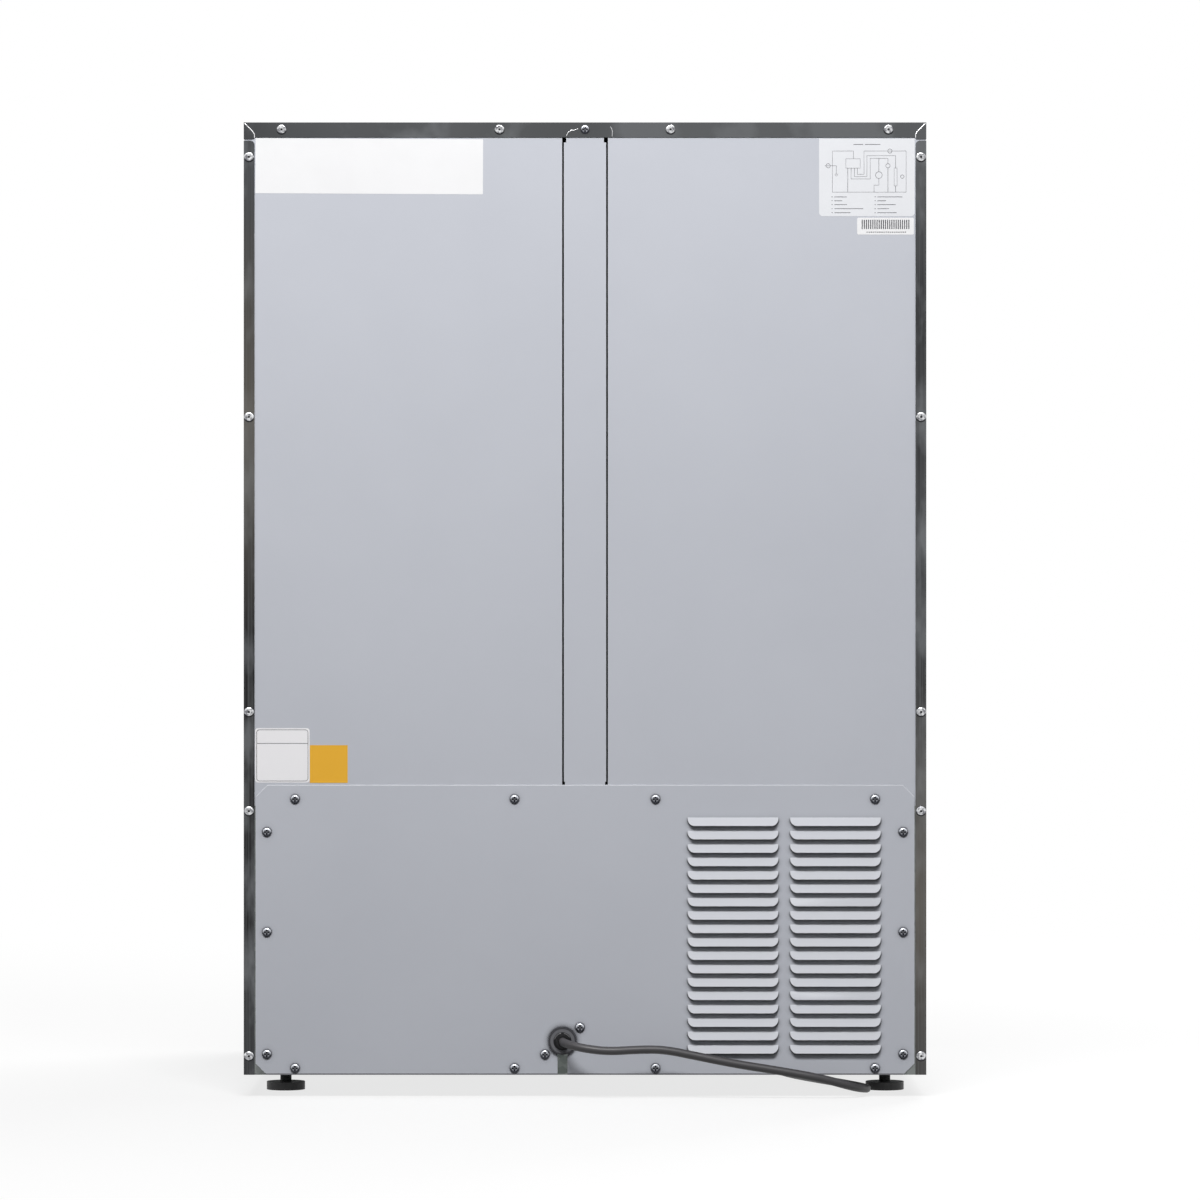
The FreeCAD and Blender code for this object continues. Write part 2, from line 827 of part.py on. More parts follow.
# The hollow behind a louvre runs a little past the lip and the back of the sheet.
hollow = new_body("louvre_hollow")
slope = (louvre_face * louvre_face + louvre_reach * louvre_reach).root()
inset = skin * slope / louvre_face
hollow_foot = lip_z - fit
hollow_back = panel_face - fit
hollow_tip = rear + louvre_reach * (louvre_face + fit) / louvre_face - inset
hollow_head = louvre_head - louvre_face * (hollow_back - rear + inset) / louvre_reach
section = [(hollow_back, hollow_foot), (hollow_tip, hollow_foot), (hollow_back, hollow_head)]
pad(hollow, sketch(hollow, "YZ", ZERO, [section]), size("louvre_width") - skin * 2, symmetric=True)
hollow_half = louvre_half - skin
hollow_middle = (hollow_back + hollow_tip) / 2
hollow_ends = [(hollow_half, hollow_middle, hollow_foot), (-hollow_half, hollow_middle, hollow_foot)]
fillet(hollow, size("louvre_corner") - skin, hollow_ends)
louvre_places = []
for column in range(count("louvre_columns")):
    for level in range(count("louvre_count")):
        across = size("louvre_from_side") - cover_half + size("louvre_column_pitch") * column
        louvre_places.append((across, ZERO, -(size("louvre_pitch") * level)))
louvres = repeated("louvres", louvre, louvre_places)
hollows = repeated("louvre_hollows", hollow, louvre_places)
sub_part(cut(fuse([blank, louvres]), [hollows]), "rear_cover")

# Base pan with upturned flanges, foot bosses and the studs of the compressor mounts
clamp_half = size("clamp_width") / 2
clamp_span = (gland_x - clamp_half, gland_x + clamp_half)
flange_half = inner - size("deck_lip") - fit
base_back = panel_face - size("base_sheet")
base_front = front + size("grille_sheet")
rear_flange = (bottom, bottom + size("base_rear_flange"))
notch = size("clamp_notch_margin")
base_pieces = [
    box((-inner + fit, inner - fit), (base_front, panel_face), (bottom, base_top)),
    box((-flange_half, clamp_span[0] - notch), (base_back, panel_face), rear_flange),
    box((clamp_span[1] + notch, flange_half), (base_back, panel_face), rear_flange),
]
front_span = (base_front, base_front + size("base_sheet"))
base_pieces.append(box((-front_half, front_half), front_span, (bottom, bottom + size("base_front_flange"))))
foot_x = half - size("foot_from_side")
foot_places = {}
for end, y in (("front", front + size("foot_from_front")), ("rear", rear - size("foot_from_rear"))):
    for side, sign in (("right", 1), ("left", -1)):
        foot_places[end + "_" + side] = (foot_x * sign, y)
compressor_x = inner - size("compressor_from_side")
compressor_y = panel_face - size("compressor_from_rear")
mount_places = []
for sign_x in (1, -1):
    for sign_y in (1, -1):
        mount_x = compressor_x + size("mount_spacing_x") / 2 * sign_x
        mount_y = compressor_y + size("mount_spacing_y") / 2 * sign_y
        mount_places.append((mount_x, mount_y))
stud_rise = size("mount_height") + size("compressor_plate") + size("mount_stud_spare")
stud_length = size("base_sheet") + stud_rise
for x, y in mount_places:
    base_pieces.append(cylinder((x, y, bottom), "+Z", size("mount_stud_radius"), stud_length))
foot_bores = []
foot_bore = size("foot_stud_radius") + size("foot_clearance")
for x, y in foot_places.values():
    boss_length = size("base_sheet") + size("boss_height")
    base_pieces.append(cylinder((x, y, bottom), "+Z", size("boss_radius"), boss_length))
    foot_bores.append(cylinder((x, y, bottom - fit), "+Z", foot_bore, boss_length + fit * 2))
base_drills = []
for x, z in cover_screws:
    if z.number < gland_z.number:
        base_drills.append(cylinder((x, base_back - fit, z), "+Y", screw_hole, size("base_sheet") + fit * 2))
for x, z in grille_screws:
    base_drills.append(cylinder((x, base_front - fit, z), "+Y", screw_hole, size("base_sheet") + fit * 2))
sub_part(cut(fuse(base_pieces), foot_bores + base_drills), "base_pan")

# Levelling feet, each a disc on a threaded stud
for place_name, (x, y) in foot_places.items():
    stud_end = base_top + size("boss_height") + size("foot_stud_spare")
    foot = turned("foot", [
        (ZERO, ZERO),
        (size("foot_radius"), ZERO),
        (size("foot_radius"), size("foot_disc")),
        (size("foot_stud_radius"), size("foot_disc")),
        (size("foot_stud_radius"), stud_end),
        (ZERO, stud_end),
    ])
    place(foot, (x, y, ZERO))
    sub_part(foot, "levelling_foot_" + place_name)

# Deck over the air tunnel and the compressor compartment, with cheeks and screw lips
folded = new_body("deck_sheet_metal")
section = [
    (frame_back, tunnel_roof),
    (hump_wall, tunnel_roof),
    (hump_wall, hump_roof),
    (panel_back, hump_roof),
    (panel_back, hump_roof + deck),
    (hump_wall - deck, hump_roof + deck),
    (hump_wall - deck, tunnel_roof + deck),
    (frame_back, tunnel_roof + deck),
]
pad(folded, sketch(folded, "YZ", ZERO, [section]), inner * 2, symmetric=True)
deck_pieces = [folded]
lip_back = panel_face - deck
for sign in (1, -1):
    cheek = mirrored(sign, inner - deck, inner)
    deck_pieces.append(box(cheek, (hump_wall, lip_back), (base_top, hump_roof)))
    lip = mirrored(sign, inner - size("deck_lip"), inner)
    deck_pieces.append(box(lip, (lip_back, panel_face), (base_top, panel_foot - fit)))
deck_drills = []
for x, z in side_screws:
    deck_drills.append(cylinder((x, lip_back - fit, z), "+Y", screw_hole, deck + fit * 2))
for sign in (1, -1):
    for level in side_rivet_levels:
        if level.number < panel_foot.number:
            start = (side_rivet_x * sign, lip_back - fit, level)
            deck_drills.append(cylinder(start, "+Y", rivet_hole, deck + fit * 2))
suction_x = size("suction_offset")
suction_y = panel_back - size("suction_from_rear")
suction_bore = size("suction_radius") + size("tube_clearance")
drain_x = compressor_x + size("drain_from_compressor")
drain_y = panel_face - size("drain_from_rear")
drain_bore = size("drain_radius") + fit
deck_drills.append(cylinder((suction_x, suction_y, hump_roof - fit), "+Z", suction_bore, deck + fit * 2))
deck_drills.append(cylinder((drain_x, drain_y, hump_roof - fit), "+Z", drain_bore, deck + fit * 2))
fold_half = seam + skin + fit
deck_drills.append(box((-fold_half, fold_half), (panel_face - size("fold_depth") - fit, panel_face),
                       (hump_roof - fit, hump_roof + deck + fit)))
sub_part(cut(fuse(deck_pieces), deck_drills), "compartment_deck")

# Evaporator place, which the insulation and the liner are drilled for
evaporator_cover_top = room_top - size("evaporator_cover_drop")
evaporator_cover_foot = evaporator_cover_top - size("evaporator_cover_height")
evaporator_foot = evaporator_cover_foot + size("evaporator_floor")
evaporator_head = evaporator_foot + size("evaporator_height")
suction_top = (evaporator_foot + evaporator_head) / 2

# Insulation around the liner, with the channel behind the strip
foam = new_body("foam_insulation")
section = [
    (frame_back, tunnel_roof + deck),
    (hump_wall - deck, tunnel_roof + deck),
    (hump_wall - deck, hump_roof + deck),
    (panel_back, hump_roof + deck),
    (panel_back, top - skin),
    (frame_back, top - skin),
]
pad(foam, sketch(foam, "YZ", ZERO, [section]), inner * 2, symmetric=True)


def liner_section(mouth, inset):
    """The liner's stepped section, from its mouth, drawn in by an inset all round."""
    return [
        (mouth, liner_foot + inset),
        (step_wall - inset, liner_foot + inset),
        (step_wall - inset, step_top + inset),
        (liner_back - inset, step_top + inset),
        (liner_back - inset, liner_top - inset),
        (mouth, liner_top - inset),
    ]


pocket(foam, sketch(foam, "YZ", ZERO, [liner_section(frame_back - fit, ZERO)]), liner_half * 2)
channel_half = seam + skin + size("channel_margin")
channel = rectangle((-channel_half, channel_half), (panel_back - size("channel_depth"), panel_back + fit))
pocket(foam, sketch(foam, "XY", (hump_roof + top) / 2, [channel]), (top - hump_roof) * 2)
drain_hole = [(drain_x, drain_y, drain_bore)]
pocket(foam, sketch(foam, "XY", hump_roof + deck + insulation / 2, (), drain_hole), insulation + fit * 4)
suction_hole = [(suction_x, suction_top, suction_bore)]
pocket(foam, sketch(foam, "XZ", panel_back - insulation / 2, (), suction_hole), insulation + fit * 4)
bend_depth = size("suction_from_rear") + size("tube_bend")
bend_room = rectangle((suction_x - suction_bore, suction_x + suction_bore),
                      (suction_top - size("tube_bend") - suction_bore, suction_top + suction_bore))
pocket(foam, sketch(foam, "XZ", panel_back, [bend_room]), bend_depth * 2)
sub_part(foam, "foam_insulation")

# Inner liner with its shelf rails
shell = new_body("liner_shell")
pad(shell, sketch(shell, "YZ", ZERO, [liner_section(frame_back, ZERO)]), liner_half * 2, symmetric=True)
pocket(shell, sketch(shell, "YZ", ZERO, [liner_section(frame_back - fit, wall)]), room_half * 2)
drain_mouth = [(drain_x, drain_y, size("drain_radius") - size("drain_wall"))]
pocket(shell, sketch(shell, "XY", step_top + wall / 2, (), drain_mouth), wall * 2)
pocket(shell, sketch(shell, "XZ", liner_back - wall / 2, (), suction_hole), wall * 2)
liner_pieces = [shell]
shelf_front = frame_back + size("rail_setback")
evaporator_cover_front = room_back - size("evaporator_cover_depth")
shelf_levels = {
    "shelf_lower": bottom + size("shelf_lower_height"),
    "shelf_upper": bottom + size("shelf_upper_height"),
}
for level in shelf_levels.values():
    for sign in (1, -1):
        rail = mirrored(sign, room_half - size("rail_reach"), liner_half)
        rail_span = (shelf_front, evaporator_cover_front - size("shelf_rear_gap"))
        liner_pieces.append(box(rail, rail_span, (level - size("rail_height"), level)))
sub_part(fuse(liner_pieces), "inner_liner")

# Door planes and hinge axis
door_half = half - size("door_side_gap")
door_back = front - size("door_gap")
door_front = door_back - size("door_thickness")
door_foot = tunnel_roof + size("door_above_kick")
door_head = top - size("door_below_top")
hinge_x = door_half - size("hinge_from_side")
hinge_y = (door_front + door_back) / 2
hinge_screw_x = [hinge_x - size("hinge_screw_near"), hinge_x - size("hinge_screw_far")]
hinge_screws = []
for x in hinge_screw_x:
    hinge_screws.append((x, door_head + size("hinge_gap") - size("hinge_screw_drop")))
    hinge_screws.append((x, door_foot - size("hinge_gap") + size("hinge_screw_drop")))

# Front frame, the ring that the gasket closes on
frame = new_body("front_frame")
frame_span = (tunnel_roof + deck, top - size("lid_skirt") - fit)
frame_outline = rectangle((-front_half, front_half), frame_span)
pad(frame, sketch(frame, "XZ", frame_back, [frame_outline]), size("frame_depth"))
mouth = rectangle((-room_half, room_half), (room_foot, room_top))
pocket(frame, sketch(frame, "XZ", front, [mouth], holes(hinge_screws, screw_hole)), size("frame_depth") * 3)
sub_part(frame, "front_frame")

# Kick grille with rows of slots
plate = box((-front_half, front_half), (front, base_front), (bottom + size("grille_foot"), tunnel_roof - fit))
openings = []
columns = count("grille_columns")
slot_gap = size("grille_slot_gap")
slot_width = ((front_half - size("grille_margin")) * 2 - slot_gap * (columns - 1)) / columns
for column in range(columns):
    for row in range(count("grille_rows")):
        left = size("grille_margin") - front_half + (slot_width + slot_gap) * column
        slot = (left, left + slot_width)
        low = bottom + size("grille_first_slot") + size("grille_row_pitch") * row
        openings.append(box(slot, (front - fit, base_front + fit), (low, low + size("grille_slot_height"))))
for x, z in grille_screws:
    openings.append(cylinder((x, front - fit, z), "+Y", screw_hole, size("grille_sheet") + fit * 2))
sub_part(cut(plate, openings), "kick_grille")

# Door skin, a tray that is open at the back
tray = box((-door_half, door_half), (door_front, door_back), (door_foot, door_head))
tray_hollow = box((skin - door_half, door_half - skin), (door_front + skin, door_back + fit),
                  (door_foot + skin, door_head - skin))
bush_hole = size("bush_radius") + size("hole_clearance")
through = cylinder((hinge_x, hinge_y, door_foot - fit), "+Z", bush_hole, door_head - door_foot + fit * 2)
sub_part(cut(tray, [tray_hollow, through]), "door_skin")

# Door insulation, bored for the bushes
core = box((skin - door_half, door_half - skin), (door_front + skin, door_back - size("door_liner_sheet")),
           (door_foot + skin, door_head - skin))
bush_bores = [
    cylinder((hinge_x, hinge_y, door_head - size("bush_depth") - fit), "+Z", bush_hole, size("bush_depth")),
    cylinder((hinge_x, hinge_y, door_foot + fit), "+Z", bush_hole, size("bush_depth")),
]
sub_part(cut(core, bush_bores), "door_foam")

# Door liner with a raised field inside the gasket
gasket_half = door_half - size("gasket_from_side")
gasket_span = (door_foot + size("gasket_from_end"), door_head - size("gasket_from_end"))
field_inset = size("gasket_width") + size("door_field_margin")
door_liner = fuse([
    box((skin + fit - door_half, door_half - skin - fit), (door_back - size("door_liner_sheet"), door_back),
        (door_foot + skin + fit, door_head - skin - fit)),
    box((field_inset - gasket_half, gasket_half - field_inset),
        (door_back - size("door_liner_sheet"), door_back + size("door_field_rise")),
        (gasket_span[0] + field_inset, gasket_span[1] - field_inset)),
])
sub_part(door_liner, "door_liner")


def gasket_ring(inset, y):
    """A ring of the gasket, drawn in by an inset on both its edges."""
    ring_half = gasket_half - inset
    gap_half = gasket_half - size("gasket_width") + inset
    ring = box((-ring_half, ring_half), y, (gasket_span[0] + inset, gasket_span[1] - inset))
    hole_span = (gasket_span[0] + size("gasket_width") - inset, gasket_span[1] - size("gasket_width") + inset)
    gap = box((-gap_half, gap_half), (y[0] - fit, y[1] + fit), hole_span)
    return cut(ring, [gap])


gasket_face = front - size("gasket_clearance")
gasket_root = door_back + size("gasket_base")
gasket = fuse([gasket_ring(ZERO, (door_back, gasket_root)),
               gasket_ring(size("gasket_step"), (gasket_root, gasket_face))])
sub_part(gasket, "door_gasket")

# Handle bar on two posts, at the latch side
handle_x = size("handle_from_side") - door_half
handle_y = door_front - size("handle_reach") + size("handle_radius")
handle_z = (door_foot + door_head) / 2
bar_half = size("handle_length") / 2
bar = turned("handle_bar", [
    (ZERO, -bar_half),
    (size("handle_radius"), -bar_half),
    (size("handle_radius"), bar_half),
    (ZERO, bar_half),
])
fillet(bar, size("handle_round"), [(ZERO, ZERO, bar_half), (ZERO, ZERO, -bar_half)])
place(bar, (handle_x, handle_y, handle_z))
sub_part(bar, "handle_bar")
post_rise = bar_half - size("handle_post_inset")
posts = []
for sign in (1, -1):
    start = (handle_x, handle_y, handle_z + post_rise * sign)
    posts.append(cylinder(start, "+Y", size("handle_post_radius"), door_front - handle_y))
seat = cylinder((handle_x, handle_y, handle_z - bar_half), "+Z",
                size("handle_radius") + size("handle_seat"), size("handle_length"))
sub_part(cut(together(posts), [seat]), "handle_posts")

# Hinge brackets, pins and bushes, the lower set a mirror image of the upper
arm_span = (hinge_x - size("hinge_leg_inner"), hinge_x + size("hinge_leg_outer"))
arm_front = hinge_y - size("hinge_arm_margin")
leg_face = front - size("hinge_plate")
pin_bore = size("hinge_pin_radius") + size("hinge_clearance")
brackets = []
pins = []
bushes = []
for edge, sign, axis in ((door_head, 1, "+Z"), (door_foot, -1, "-Z")):
    arm = (edge + size("hinge_gap"), edge + size("hinge_gap") + size("hinge_plate"))
    leg = (arm[1] - size("hinge_leg_height"), arm[1])
    if sign < 0:
        arm = (edge - size("hinge_gap") - size("hinge_plate"), edge - size("hinge_gap"))
        leg = (arm[0], arm[0] + size("hinge_leg_height"))
    bracket = fuse([box(arm_span, (arm_front, front), arm), box(arm_span, (leg_face, front), leg)])
    drills = [cylinder((hinge_x, hinge_y, arm[0] - fit), "+Z", pin_bore, size("hinge_plate") + fit * 2)]
    for x, z in hinge_screws:
        if leg[0].number < z.number < leg[1].number:
            drills.append(cylinder((x, leg_face - fit, z), "+Y", screw_hole, size("hinge_plate") + fit * 2))
    brackets.append(cut(bracket, drills))
    collar_foot = size("hinge_gap") - size("hinge_collar")
    pin = turned("hinge_pin", [
        (ZERO, -size("hinge_pin_length")),
        (size("hinge_pin_radius"), -size("hinge_pin_length")),
        (size("hinge_pin_radius"), collar_foot),
        (size("hinge_collar_radius"), collar_foot),
        (size("hinge_collar_radius"), size("hinge_gap")),
        (size("hinge_pin_radius"), size("hinge_gap")),
        (size("hinge_pin_radius"), size("hinge_gap") + size("hinge_plate")),
        (ZERO, size("hinge_gap") + size("hinge_plate")),
    ])
    place(pin, (hinge_x, hinge_y, edge), axis)
    pins.append(pin)
    bush = turned("door_bush", [
        (pin_bore, -size("bush_depth")),
        (size("bush_radius"), -size("bush_depth")),
        (size("bush_radius"), ZERO),
        (size("bush_flange_radius"), ZERO),
        (size("bush_flange_radius"), size("bush_flange")),
        (pin_bore, size("bush_flange")),
    ])
    place(bush, (hinge_x, hinge_y, edge), axis)
    bushes.append(bush)
sub_part(together(brackets), "hinge_brackets")
sub_part(together(pins), "hinge_pins")
sub_part(together(bushes), "door_bushes")

# Control housing under the ceiling, with a display and three buttons
control_front = frame_back + size("control_setback")
control_foot = room_top - size("control_height")
control_z = room_top - size("control_height") / 2
block = box((-(size("control_width") / 2), size("control_width") / 2),
            (control_front, control_front + size("control_depth")), (control_foot, room_top))
display_half = size("display_width") / 2
display_rise = size("display_height") / 2
display_span = (control_front, control_front + size("display_sheet"))
recess = box((-display_half - size("display_fit"), display_half + size("display_fit")),
             (control_front - fit, control_front + size("display_sheet")),
             (control_z - display_rise - size("display_fit"), control_z + display_rise + size("display_fit")))
button_places = {
    "button_power": -size("button_power_offset"),
    "button_warmer": size("button_warmer_offset"),
    "button_cooler": size("button_cooler_offset"),
}
wells = [recess]
well_depth = size("button_length") - size("button_proud") + size("button_travel") + size("button_clearance")
for across in button_places.values():
    start = (across, control_front - fit, control_z)
    wells.append(cylinder(start, "+Y", size("button_radius") + size("button_clearance"), well_depth + fit))
sub_part(cut(block, wells), "control_housing")
display = box((-display_half, display_half), display_span,
              (control_z - display_rise, control_z + display_rise))
sub_part(display, "control_display")
for label, across in button_places.items():
    button = turned("button", [
        (ZERO, ZERO),
        (size("button_radius"), ZERO),
        (size("button_radius"), size("button_length")),
        (ZERO, size("button_length")),
    ])
    fillet(button, size("button_round"), [(ZERO, ZERO, ZERO)])
    place(button, (across, control_front - size("button_proud"), control_z), "+Y")
    sub_part(button, label)

# Light bar behind the control housing
light_front = control_front + size("control_depth") + size("light_gap")
light_back = light_front + size("light_depth")
light = new_body("led_light")
bevel = size("light_bevel")
section = [
    (light_front, room_top),
    (light_front, room_top - size("light_height") + bevel),
    (light_front + bevel, room_top - size("light_height")),
    (light_back - bevel, room_top - size("light_height")),
    (light_back, room_top - size("light_height") + bevel),
    (light_back, room_top),
]
pad(light, sketch(light, "YZ", ZERO, [section]), size("light_width"), symmetric=True)
sub_part(light, "led_light")


def finned_coil(x, y, z, foot, back, fins):
    """End plates, fins and cross tubes; the plates reach down to a foot and back to a wall."""
    pieces = []
    plate_sheet = size("coil_plate")
    for span in ((x[0], x[0] + plate_sheet), (x[1] - plate_sheet, x[1])):
        pieces.append(box(span, (y[0], back), (foot, z[1])))
    step = (x[1] - x[0]) / (fins + 1)
    for fin in range(1, fins + 1):
        left = x[0] + step * fin
        pieces.append(box((left, left + size("fin_sheet")), y, z))
    levels = count("coil_tube_levels")
    for level in range(levels):
        height = z[0] + (z[1] - z[0]) * (level + 0.5) / levels
        for depth in (size("coil_tube_first"), size("coil_tube_second")):
            start = (x[0], y[0] + (y[1] - y[0]) * depth, height)
            pieces.append(cylinder(start, "+X", size("coil_tube_radius"), x[1] - x[0]))
    return pieces


# Evaporator on the back wall of the liner, with the end of its suction header
evaporator_half = size("evaporator_width") / 2
evaporator_back = room_back - (size("evaporator_cover_depth") - size("evaporator_depth")) / 2
evaporator_span = (evaporator_back - size("evaporator_depth"), evaporator_back)
pieces = finned_coil((-evaporator_half, evaporator_half), evaporator_span, (evaporator_foot, evaporator_head),
                     evaporator_foot, room_back, count("evaporator_fins"))
header = (suction_x, evaporator_span[0], suction_top)
pieces.append(cylinder(header, "+Y", size("suction_radius"), size("evaporator_depth")))
sub_part(fuse(pieces), "evaporator")

# Evaporator cover with a round field of slots for the fan and an intake below
cover_half_width = size("evaporator_cover_width") / 2
cover_wall = size("evaporator_cover_wall")
hood = box((-cover_half_width, cover_half_width), (evaporator_cover_front, room_back),
           (evaporator_cover_foot, evaporator_cover_top))
hood_hollow = box((cover_wall - cover_half_width, cover_half_width - cover_wall),
                  (evaporator_cover_front + cover_wall, room_back + fit),
                  (evaporator_cover_foot + cover_wall, evaporator_cover_top - cover_wall))
evaporator_fan_z = evaporator_cover_top - size("evaporator_fan_drop")
fan_bars = []
middle_slot = (count("fan_slots") - 1) / 2
slot_span = (evaporator_cover_front - fit, evaporator_cover_front + cover_wall + fit)
for slot in range(count("fan_slots")):
    low = evaporator_fan_z + size("fan_slot_pitch") * (slot - middle_slot) - size("fan_slot_height") / 2
    reach = size("evaporator_fan_opening")
    fan_bars.append(box((-reach, reach), slot_span, (low, low + size("fan_slot_height"))))
fan_field = doc.addObject("Part::MultiCommon", "fan_field")
fan_field.Shapes = [together(fan_bars), cylinder((ZERO, slot_span[0], evaporator_fan_z), "+Y",
                                                 size("evaporator_fan_opening"), slot_span[1] - slot_span[0])]
intake = []
middle_slot = (count("intake_slots") - 1) / 2
intake_foot = evaporator_cover_foot + size("intake_floor")
for slot in range(count("intake_slots")):
    left = size("intake_slot_pitch") * (slot - middle_slot) - size("intake_slot_width") / 2
    intake.append(box((left, left + size("intake_slot_width")), slot_span,
                      (intake_foot, intake_foot + size("intake_slot_height"))))
sub_part(cut(hood, [hood_hollow, fan_field] + intake), "evaporator_cover")


def fan(label, kind, axis, start):
    """A hub with its shaft and twisted blades, turned so that the shaft points along an axis."""
    hub_radius = size(kind + "_hub_radius")
    hub_length = size(kind + "_hub_length")
    tip_radius = size(kind + "_fan_radius")
    shaft_radius = size(kind + "_shaft_radius")
    shaft_end = hub_length + size(kind + "_motor_gap") + size("shaft_depth")
    body = turned(label, [
        (ZERO, ZERO),
        (hub_radius, ZERO),
        (hub_radius, hub_length),
        (shaft_radius, hub_length),
        (shaft_radius, shaft_end),
        (ZERO, shaft_end),
    ])
    sections = []
    root_radius = hub_radius * size("fan_root_share")
    tip_chord = tip_radius * size("fan_tip_share")
    sheet_half = size("fan_blade_sheet") / 2
    ends = ((root_radius, hub_radius, "fan_root_pitch"), (tip_radius, tip_chord, "fan_tip_pitch"))
    for radius, chord, pitch in ends:
        drawing = sketch(body, "YZ", radius, [rectangle((-(chord / 2), chord / 2), (-sheet_half, sheet_half))])
        drawing.AttachmentOffset = Placement(Vector(), Rotation(Vector(0, 0, 1), size(pitch).number))
        drawing.setExpression("AttachmentOffset.Base.y", (hub_length / 2).text)
        drawing.setExpression("AttachmentOffset.Base.z", radius.text)
        sections.append(drawing)
    blade = body.newObject("PartDesign::AdditiveLoft", "blade")
    blade.Profile = sections[0]
    blade.Sections = [sections[1]]
    blade.Ruled = True
    doc.recompute()
    blades = body.newObject("PartDesign::PolarPattern", "blades")
    blades.Originals = [blade]
    blades.Axis = (origin_feature(body, "Z_Axis"), [""])
    blades.Angle = 360
    blades.setExpression("Occurrences", "sizes.fan_blades")
    body.Tip = blades
    place(body, start, axis)
    return sub_part(body, label)


# Evaporator fan on its motor, which is held by a plate on the back wall
motor_front = room_back - size("evaporator_plate_sheet") - size("evaporator_motor_length")
plate_half = size("evaporator_motor_plate") / 2
motor_radius = size("evaporator_motor_radius")
motor = fuse([
    box((-plate_half, plate_half), (room_back - size("evaporator_plate_sheet"), room_back),
        (evaporator_fan_z - plate_half, evaporator_fan_z + plate_half)),
    cylinder((ZERO, motor_front, evaporator_fan_z), "+Y", motor_radius, room_back - motor_front),
])
bore_radius = size("evaporator_shaft_radius") + size("shaft_clearance")
bore = cylinder((ZERO, motor_front - fit, evaporator_fan_z), "+Y", bore_radius, size("shaft_depth") + fit * 2)
sub_part(cut(motor, [bore]), "evaporator_fan_motor")
fan_y = motor_front - size("evaporator_motor_gap") - size("evaporator_hub_length")
fan("evaporator_fan", "evaporator", "+Y", (ZERO, fan_y, evaporator_fan_z))

# Temperature sensor in a clip on the side wall of the liner
sensor_y = frame_back + size("sensor_setback")
sensor_z = bottom + size("sensor_height")
clip_half = size("sensor_clip") / 2
clip_x = room_half - size("sensor_clip_depth")
sensor = fuse([
    box((clip_x - size("sensor_radius"), room_half), (sensor_y - clip_half, sensor_y + clip_half),
        (sensor_z - clip_half, sensor_z + clip_half)),
    cylinder((clip_x - size("sensor_radius"), sensor_y - size("sensor_length") / 2, sensor_z), "+Y",
             size("sensor_radius"), size("sensor_length")),
])
sub_part(sensor, "temperature_sensor")

# Compressor: a domed shell on a foot plate, with stubs for its two tubes
plate_foot = base_top + size("mount_height")
plate_top = plate_foot + size("compressor_plate")
shell_foot = plate_top - size("compressor_sink")
shell_top = shell_foot + size("compressor_height")
seam_z = (shell_foot + shell_top) / 2
radius = size("compressor_radius")
flat = size("compressor_flat")
shell_body = turned("compressor_shell", [
    (ZERO, shell_foot),
    (radius - flat, shell_foot),
    (radius, shell_foot + flat),
    (radius, seam_z),
    (radius + size("compressor_seam"), seam_z),
    (radius + size("compressor_seam"), seam_z + size("compressor_seam")),
    (radius, seam_z + size("compressor_seam")),
    (radius, shell_top - flat * 2),
    (radius - flat, shell_top - flat / 2),
    (flat, shell_top),
    (ZERO, shell_top),
])
place(shell_body, (compressor_x, compressor_y, ZERO))
plate_half_width = size("compressor_plate_width") / 2
plate_half_depth = size("compressor_plate_depth") / 2
plate_x = (compressor_x - plate_half_width, compressor_x + plate_half_width)
plate_y = (compressor_y - plate_half_depth, compressor_y + plate_half_depth)
stub_x = compressor_x - radius - size("stub_length")
suction_z = bottom + size("suction_height")
discharge_z = bottom + size("discharge_height")
discharge_y = compressor_y - size("discharge_setback")
stub_length = radius / 2 + size("stub_length")
compressor = fuse([
    shell_body,
    box(plate_x, plate_y, (plate_foot, plate_top)),
    cylinder((stub_x, compressor_y, suction_z), "+X", size("suction_radius"), stub_length),
    cylinder((stub_x, discharge_y, discharge_z), "+X", size("discharge_radius"), stub_length),
])
stud_bore = size("mount_stud_radius") + size("mount_clearance")
stud_holes = []
mounts = []
for x, y in mount_places:
    stud_holes.append(cylinder((x, y, shell_foot), "+Z", stud_bore, size("compressor_sink") + fit))
    ring = cylinder((x, y, base_top), "+Z", size("mount_radius"), size("mount_height"))
    gap = cylinder((x, y, base_top - fit), "+Z", stud_bore, size("mount_height") + fit * 2)
    mounts.append(cut(ring, [gap]))
sub_part(cut(compressor, stud_holes), "compressor")
sub_part(together(mounts), "compressor_mounts")

# Starter box, hollowed to sit against the shell
starter_x = compressor_x + radius + size("compressor_seam")
starter_z = bottom + size("starter_floor")
starter = box((starter_x - size("starter_width") / 2, starter_x + size("starter_width") / 2),
              (compressor_y - size("starter_depth") / 2, compressor_y + size("starter_depth") / 2),
              (starter_z, starter_z + size("starter_height")))
seat = cylinder((compressor_x, compressor_y, starter_z - fit), "+Z",
                radius + size("compressor_seam") + size("starter_gap"), size("starter_height") + fit * 2)
sub_part(cut(starter, [seat]), "compressor_starter")

